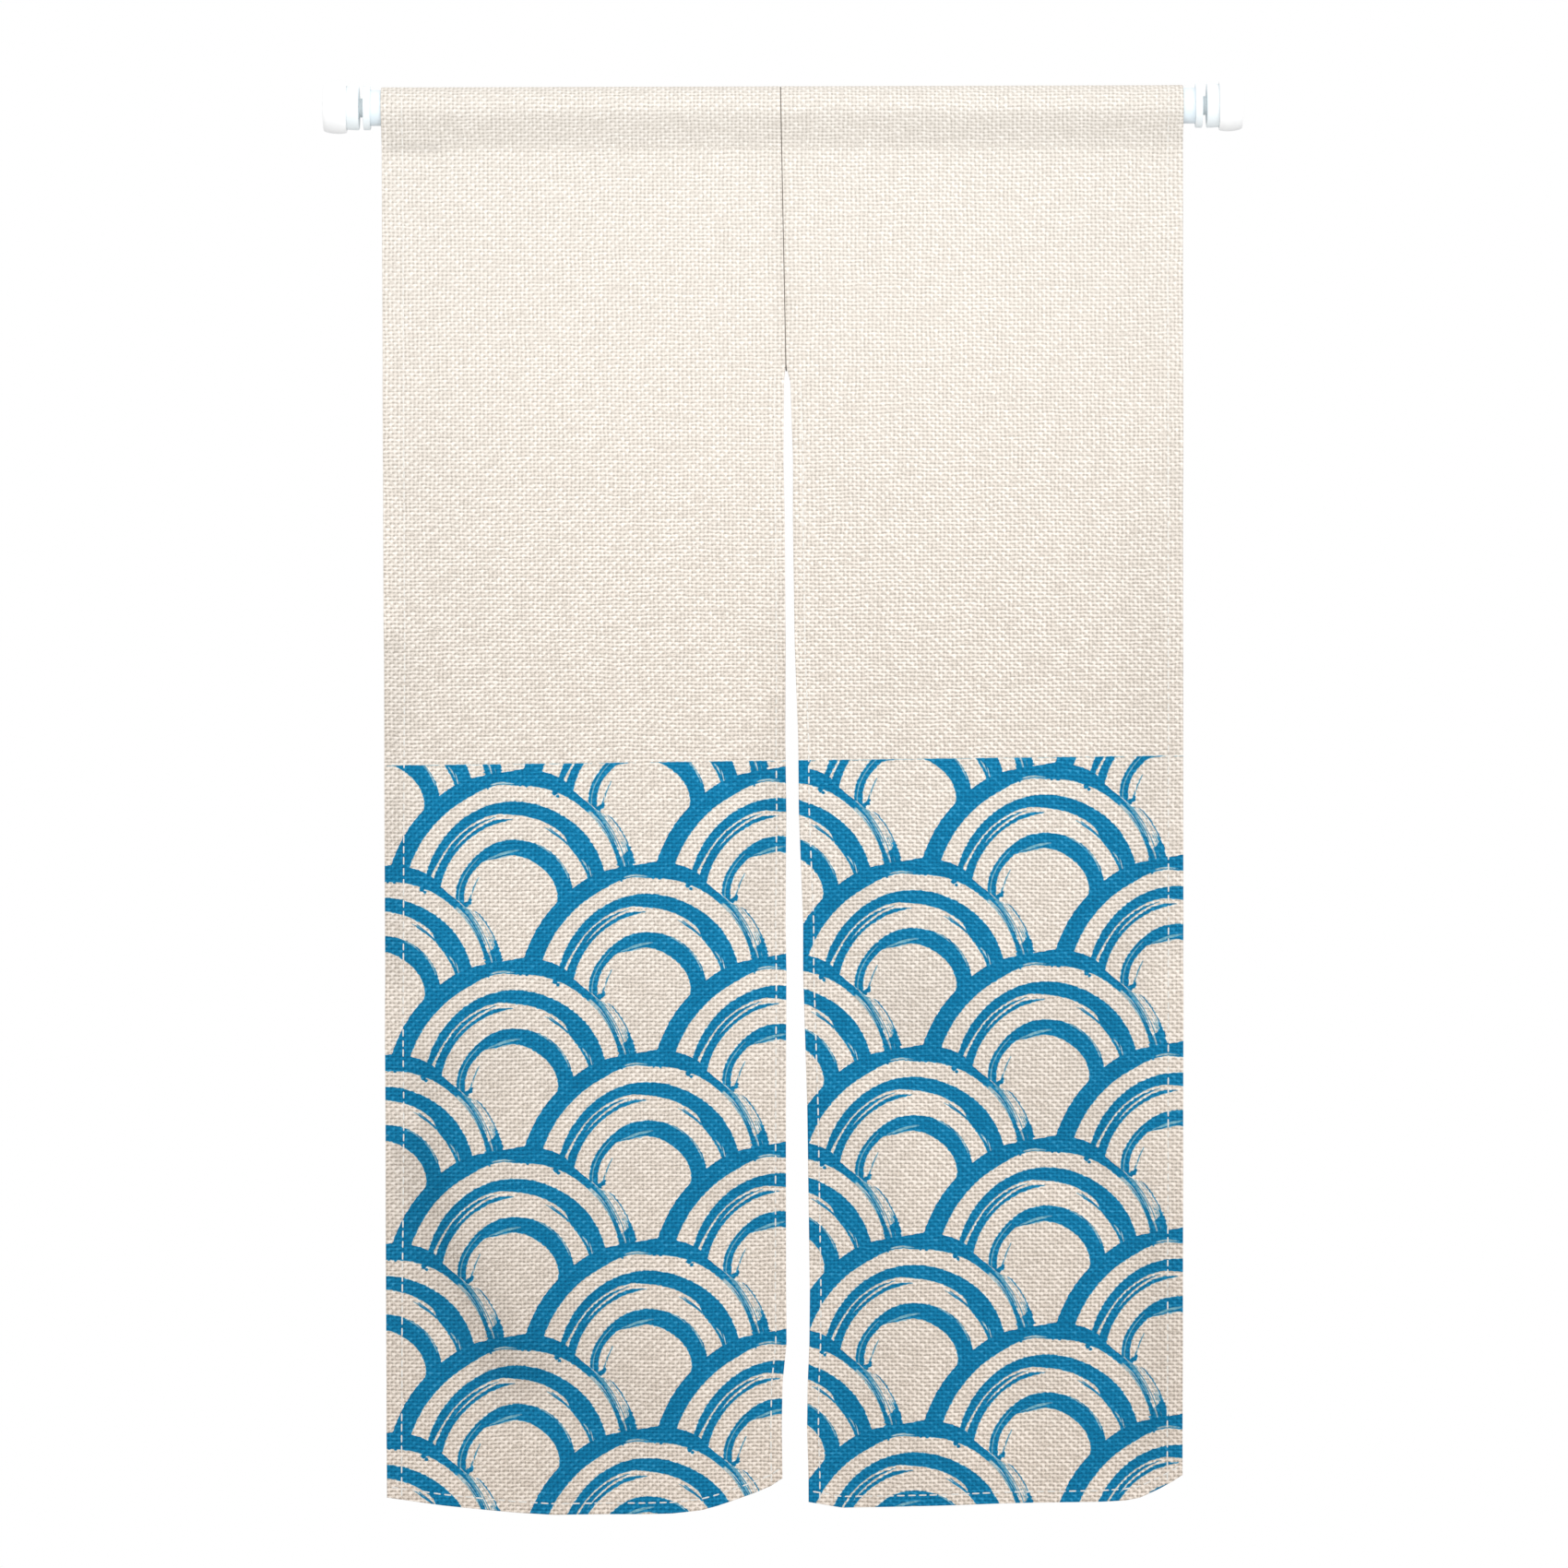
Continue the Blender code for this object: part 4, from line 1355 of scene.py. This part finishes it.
@dataclass(frozen=True)
class CentreSeam:
    """The sewn joint of the two panels: a narrow dark cord sunk between their edges, over the rod and down.

    It ends at the top of the slit. The seam is real, and its near-black thread is painted shade for the gap
    between the panels.
    """

    hang: Hang
    end_z: float = -0.2835
    half_width: float = 0.00068
    half_depth: float = 0.00045
    sink: float = 0.0001
    around: int = 10
    step: float = 0.004

    def path(self) -> tuple[np.ndarray, np.ndarray]:
        """Its middle line and normals: the pocket's section, then the hanging cloth, midway in the gap."""
        section = self.hang.pocket_section()
        z = np.arange(self.hang.body_top_z, self.end_z, -self.step)
        x = (edge_x("left_inner", z) + edge_x("right_inner", z)) / 2.0
        y = -self.hang.layer_offset + (
            self.hang.depth(Side.LEFT, x, z) + self.hang.depth(Side.RIGHT, x, z)
        ) / 2.0
        pocket_x = (edge_x("left_inner", section[:, 1]) + edge_x("right_inner", section[:, 1])) / 2.0
        points = np.concatenate([
            np.stack([pocket_x, section[:, 0], section[:, 1]], axis=1), np.stack([x, y, z], axis=1)
        ])
        ahead = np.gradient(points, axis=0)
        normals = np.cross(ahead, np.array([1.0, 0.0, 0.0]))
        return points, normals / np.linalg.norm(normals, axis=1, keepdims=True)

    def build(self, material: bpy.types.Material) -> bpy.types.Object:
        """Sweeps an ellipse along the seam and closes its ends."""
        points, normals = self.path()
        turn = np.arange(self.around) / self.around * 2.0 * math.pi
        aside = np.array([1.0, 0.0, 0.0])
        ring = (
            (points - normals * self.sink)[:, None]
            + aside * (np.cos(turn) * self.half_width)[None, :, None]
            + normals[:, None] * (np.sin(turn) * self.half_depth)[None, :, None]
        )
        rows = len(points)
        index = np.arange(rows * self.around).reshape(rows, self.around)
        wrapped = np.concatenate([index, index[:, :1]], axis=1)
        faces = grid_quads(wrapped).tolist()
        faces.append(index[0].tolist())
        faces.append(index[-1][::-1].tolist())
        piece = make_piece("centre_seam", ring.reshape(-1, 3), faces, material)
        log.info("%s: %d faces", piece.name, len(faces))
        return piece


# The rod


@dataclass(frozen=True)
class TensionRod:
    """The rod: a coated tube, and at each end a collar, a flared cap on its neck and a soft foot.

    Every piece is a surface of revolution: its profile of (distance from the wall, radius), whose corners are
    rounded, is carried round the rod's axis.
    """

    length: float = 0.973
    tube_radius: float = 0.019
    tube_wall: float = 0.0012
    tube_start: float = 0.0452
    fit_gap: float = 0.0004
    foot_depth: float = 0.0245
    cup_floor: float = 0.0125
    cup_radius: float = 0.0222
    cap_start: float = 0.0130
    cap_end: float = 0.0378
    cap_radius: float = 0.0235
    neck_radius: float = 0.0100
    neck_end: float = 0.0620
    collar_start: float = 0.0425
    collar_end: float = 0.0498
    collar_radius: float = 0.0234
    corner_share: float = 0.45
    sharp_angle: float = 50.0
    around: int = 96

    def rounded(self, outline: list[tuple[float, float, float]], steps: int = 6) -> np.ndarray:
        """Rounds the corners of a closed profile.

        Each corner of (distance, radius, rounding) becomes a quadratic curve between the points that lie one
        rounding before and after it on its two sides, or a share of a side where that is less.

        Args:
            outline: The corners in order.
            steps: Points on each rounding.

        Returns:
            Points of the profile.
        """
        corners = np.array([corner[:2] for corner in outline])
        t = np.linspace(0.0, 1.0, steps)[:, None]
        points = []
        for number, (here, size) in enumerate(zip(corners, [corner[2] for corner in outline])):
            before = corners[number - 1] - here
            after = corners[(number + 1) % len(corners)] - here
            if size == 0.0:
                points.append(here[None])
                continue
            run_in, run_out = np.linalg.norm(before), np.linalg.norm(after)
            start = here + before / run_in * min(size, run_in * self.corner_share)
            end = here + after / run_out * min(size, run_out * self.corner_share)
            points.append((1 - t) ** 2 * start + 2 * t * (1 - t) * here + t**2 * end)
        return np.concatenate(points)

    def turned(
        self, name: str, node: str, profile: np.ndarray, side: Side, solid: bool,
        material: bpy.types.Material,
    ) -> bpy.types.Object:
        """Carries a profile of (distance from the wall, radius) round the rod's axis.

        Args:
            name: The piece's name.
            node: The solid that it stands for.
            profile: The points, closed, or from axis to axis where solid.
            side: The end of the rod that distances count from.
            solid: Whether the first and last points lie on the axis.
            material: Its finish.

        Returns:
            The new object.
        """
        along = profile[:, 0] if side is Side.LEFT else self.length - profile[:, 0]
        turn = np.arange(self.around) / self.around * 2.0 * math.pi
        ring = np.stack([
            np.broadcast_to(along[:, None], (len(profile), self.around)),
            profile[:, 1:] * np.sin(turn)[None], profile[:, 1:] * np.cos(turn)[None],
        ], axis=-1)
        index = np.arange(ring.shape[0] * self.around).reshape(ring.shape[:2])
        if solid:
            index[0], index[-1] = index[0, 0], index[-1, 0]
        else:
            index = np.concatenate([index, index[:1]])
        index = np.concatenate([index, index[:, :1]], axis=1)
        quads = grid_quads(index)
        if side is Side.RIGHT:
            quads = quads[:, ::-1]
        faces = [list(dict.fromkeys(face)) for face in quads.tolist()]
        used, renumbered = np.unique([corner for face in faces for corner in face], return_inverse=True)
        ends = np.cumsum([0] + [len(face) for face in faces])
        faces = [renumbered[a:b].tolist() for a, b in zip(ends, ends[1:])]
        piece = make_piece(name, ring.reshape(-1, 3)[used], faces, material)
        piece.data.set_sharp_from_angle(angle=math.radians(self.sharp_angle))
        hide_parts(node)
        log.info("%s: %d faces", piece.name, len(faces))
        return piece

    def foot_profile(self) -> np.ndarray:
        """A soft cup with a flat face at the wall and a rim round the cap."""
        outline = [
            (self.cup_floor, 0.0, 0.0), (self.cup_floor, self.cup_radius, 0.0008),
            (self.foot_depth, 0.0240, 0.0006), (self.foot_depth, 0.0262, 0.0008), (0.0190, 0.0273, 0.0030),
            (0.0110, 0.0271, 0.0030), (0.0035, 0.0258, 0.0020), (0.0, 0.0240, 0.0012), (0.0, 0.0, 0.0),
        ]
        return self.rounded(outline)

    def cap_profile(self) -> np.ndarray:
        """A cap that flares towards the tube, and the neck that runs through the collar into it."""
        outline = [
            (self.neck_end, 0.0, 0.0), (self.neck_end, self.neck_radius, 0.0010),
            (self.cap_end, self.neck_radius, 0.0008), (self.cap_end, self.cap_radius, 0.0012),
            (0.0290, self.cap_radius - 0.0003, 0.0030), (0.0235, 0.0225, 0.0030), (0.0185, 0.0213, 0.0020),
            (self.cap_start, 0.0208, 0.0008), (self.cap_start, 0.0, 0.0),
        ]
        return self.rounded(outline)

    def collar_profile(self) -> np.ndarray:
        """A ring over the tube's end, with a hole for the neck."""
        bore = self.tube_radius + self.fit_gap
        hole = self.neck_radius + self.fit_gap
        floor = self.tube_start - self.fit_gap
        outline = [
            (floor, hole, 0.0002), (floor, bore, 0.0002), (self.collar_end, bore, 0.0003),
            (self.collar_end, self.collar_radius, 0.0010), (self.collar_start, self.collar_radius, 0.0010),
            (self.collar_start, hole, 0.0004),
        ]
        return self.rounded(outline)

    def tube_profile(self) -> np.ndarray:
        """The tube's wall, from one collar to the other."""
        inner = self.tube_radius - self.tube_wall
        far = self.length - self.tube_start
        outline = [
            (far, inner, 0.0002), (far, self.tube_radius, 0.0004),
            (self.tube_start, self.tube_radius, 0.0004), (self.tube_start, inner, 0.0002),
        ]
        return self.rounded(outline)

    def build(
        self, coated: bpy.types.Material, moulded: bpy.types.Material, soft: bpy.types.Material
    ) -> None:
        """Makes the tube and both ends.

        Args:
            coated: The tube's finish.
            moulded: The finish of the collars and caps.
            soft: The finish of the feet.
        """
        collar, cap, foot = self.collar_profile(), self.cap_profile(), self.foot_profile()
        self.turned("tube_coated", "rod_tube", self.tube_profile(), Side.LEFT, False, coated)
        for side in Side:
            end = side.value
            self.turned("collar_ring_" + end, "collar_" + end, collar, side, False, moulded)
            self.turned("flared_cap_" + end, "end_cap_" + end, cap, side, True, moulded)
            self.turned("soft_foot_" + end, "foot_" + end, foot, side, True, soft)


# The studio


@dataclass(frozen=True)
class SoftLight:
    """A round soft light.

    Args:
        name: Its name.
        place: Where it hangs.
        aim: The point that it faces.
        size: Its width.
        power: Its power in watts.
    """

    name: str
    place: tuple[float, float, float]
    aim: tuple[float, float, float]
    size: float
    power: float

    def build(self) -> None:
        """Hangs the light."""
        light = bpy.data.lights.new(self.name, "AREA")
        light.shape = "DISK"
        light.size = self.size
        light.energy = self.power
        lamp = bpy.data.objects.new(self.name, light)
        lamp.location = self.place
        lamp.rotation_euler = (Vector(self.aim) - Vector(self.place)).to_track_quat("-Z", "Y").to_euler()
        lamp.visible_camera = False
        bpy.context.scene.collection.objects.link(lamp)


@dataclass(frozen=True)
class Studio:
    """A pale floor, a white surround, two broad soft lights and the camera."""

    middle: tuple[float, float] = (0.4856, -0.7173)
    camera_distance: float = 8.0
    picture_width: float = 1.6609
    sensor: float = 36.0
    roll: float = 0.17
    floor_z: float = -2.0
    floor_size: float = 3.2
    floor_back: float = 0.9
    floor_tones: tuple[float, float] = (0.66, 0.70)
    dim: float = 0.67
    bright: float = 0.96
    blend: float = 0.2
    lights: tuple[SoftLight, ...] = (
        SoftLight("front_panel", (0.40, -0.90, 0.165), (0.40, 0.0, 0.317), 1.95, 6.3),
        SoftLight("side_key", (3.6, -4.2, 1.6), (0.48, 0.0, -0.75), 1.6, 58.0),
    )

    def build(self) -> None:
        """Sets up all of it."""
        self.add_floor()
        self.add_surround()
        for light in self.lights:
            light.build()
        self.add_camera()
        bpy.context.scene.view_settings.view_transform = "Standard"

    def add_floor(self) -> None:
        """A plain pale floor under the hanging curtain."""
        half = self.floor_size / 2.0
        x, z = self.middle[0], self.floor_z
        front = self.floor_back - self.floor_size
        mesh = bpy.data.meshes.new("floor")
        corners = [
            (x - half, front, z), (x + half, front, z), (x + half, self.floor_back, z),
            (x - half, self.floor_back, z),
        ]
        mesh.from_pydata(corners, [], [(0, 1, 2, 3)])
        graph = MaterialGraph("floor_pale")
        tone = graph.noise(graph.object_place(), 3.0, 4.0)
        darker, paler = self.floor_tones
        color = graph.ramp(tone, ((0.3, (darker,) * 3), (0.7, (paler,) * 3)))
        graph.surface(color, 0.8)
        mesh.materials.append(graph.material)
        floor = bpy.data.objects.new("floor", mesh)
        bpy.context.scene.collection.objects.link(floor)

    def add_surround(self) -> None:
        """A surround that looks white. It lights the object more from above than from below."""
        world = bpy.data.worlds.new("surround")
        bpy.context.scene.world = world
        world.use_nodes = True
        graph = Graph(world.node_tree)
        white = (1.0, 1.0, 1.0, 1.0)
        way = graph.node("ShaderNodeTexCoord").outputs["Generated"]
        up = graph.node("ShaderNodeSeparateXYZ", None, {0: way}).outputs[2]
        strength = graph.node(
            "ShaderNodeMapRange", {"interpolation_type": "SMOOTHSTEP"},
            {0: up, 1: -self.blend, 2: self.blend, 3: self.dim, 4: self.bright},
        ).outputs[0]
        light = graph.tree.nodes["Background"]
        graph.plug(light.inputs["Color"], white)
        graph.plug(light.inputs["Strength"], strength)
        plain = graph.node("ShaderNodeBackground", None, {"Color": white}).outputs[0]
        seen = graph.node("ShaderNodeLightPath").outputs["Is Camera Ray"]
        both = graph.node("ShaderNodeMixShader", None, {0: seen, 1: light.outputs[0], 2: plain}).outputs[0]
        graph.plug(graph.tree.nodes["World Output"].inputs[0], both)

    def add_camera(self) -> None:
        """The camera, straight in front of the picture's middle and turned by the photo's slight roll."""
        camera = bpy.data.cameras.new("camera")
        camera.sensor_width = self.sensor
        camera.lens = self.camera_distance * self.sensor / self.picture_width
        camera.clip_end = 60.0
        view = bpy.data.objects.new("camera", camera)
        view.location = (self.middle[0], -self.camera_distance, self.middle[1])
        view.rotation_euler = (math.pi / 2.0, math.radians(self.roll), 0.0)
        bpy.context.scene.collection.objects.link(view)
        bpy.context.scene.camera = view


def main() -> None:
    """Builds the rod, the two panels, their stitches and seam, and the studio."""
    logging.basicConfig(level=logging.INFO, format="%(name)s: %(message)s")
    cloth = ClothFinish()
    front, back = cloth.build(Face.FRONT), cloth.build(Face.BACK)
    pale_thread = ThreadFinish("pale_thread", (0.75, 0.725, 0.68), (0.88, 0.86, 0.815)).build()
    cream_thread = ThreadFinish("cream_thread", (0.60, 0.555, 0.50), (0.74, 0.69, 0.62)).build()
    # Painted shade: the seam's thread is near black for the shade in the gap between the panels.
    seam_shade_thread = ThreadFinish("seam_shade_thread", (0.07, 0.06, 0.05), (0.16, 0.14, 0.12)).build()
    coated = HardFinish(
        "coated_tube", (0.81, 0.90, 0.955), (0.78, 0.875, 0.935), 0.32, 0.10, 500.0, 0.00008, 0.4
    ).build()
    moulded = HardFinish(
        "white_moulding", (0.88, 0.935, 0.955), (0.85, 0.91, 0.935), 0.42, 0.12, 900.0, 0.00010
    ).build()
    soft = HardFinish(
        "soft_foot", (0.97, 0.975, 0.975), (0.94, 0.945, 0.95), 0.68, 0.10, 1400.0, 0.00015
    ).build()

    TensionRod().build(coated, moulded, soft)
    hang = Hang()
    panels = (
        Panel(Side.LEFT, hang, (0.0222, 0.0158), (0.0100, 0.0118)),
        Panel(Side.RIGHT, hang, (0.0108, 0.0120), (0.0160, 0.0160)),
    )
    seam = CentreSeam(hang).build(seam_shade_thread)
    hem_stitching = Stitching()
    pocket_stitching = Stitching(length=0.0042, gap=0.0012, half_width=0.0007, height=0.0003)
    for panel in panels:
        end = panel.side.value
        piece = panel.build((front, back), "panel_" + end)
        with_pieces = [
            hem_stitching.build("stitches_" + end, panel.hem_paths(), pale_thread),
            pocket_stitching.build("pocket_stitches_" + end, panel.pocket_path(), cream_thread),
        ]
        if panel.side is Side.LEFT:
            with_pieces.append(seam)
    Studio().build()


if __name__ == "__main__":
    main()
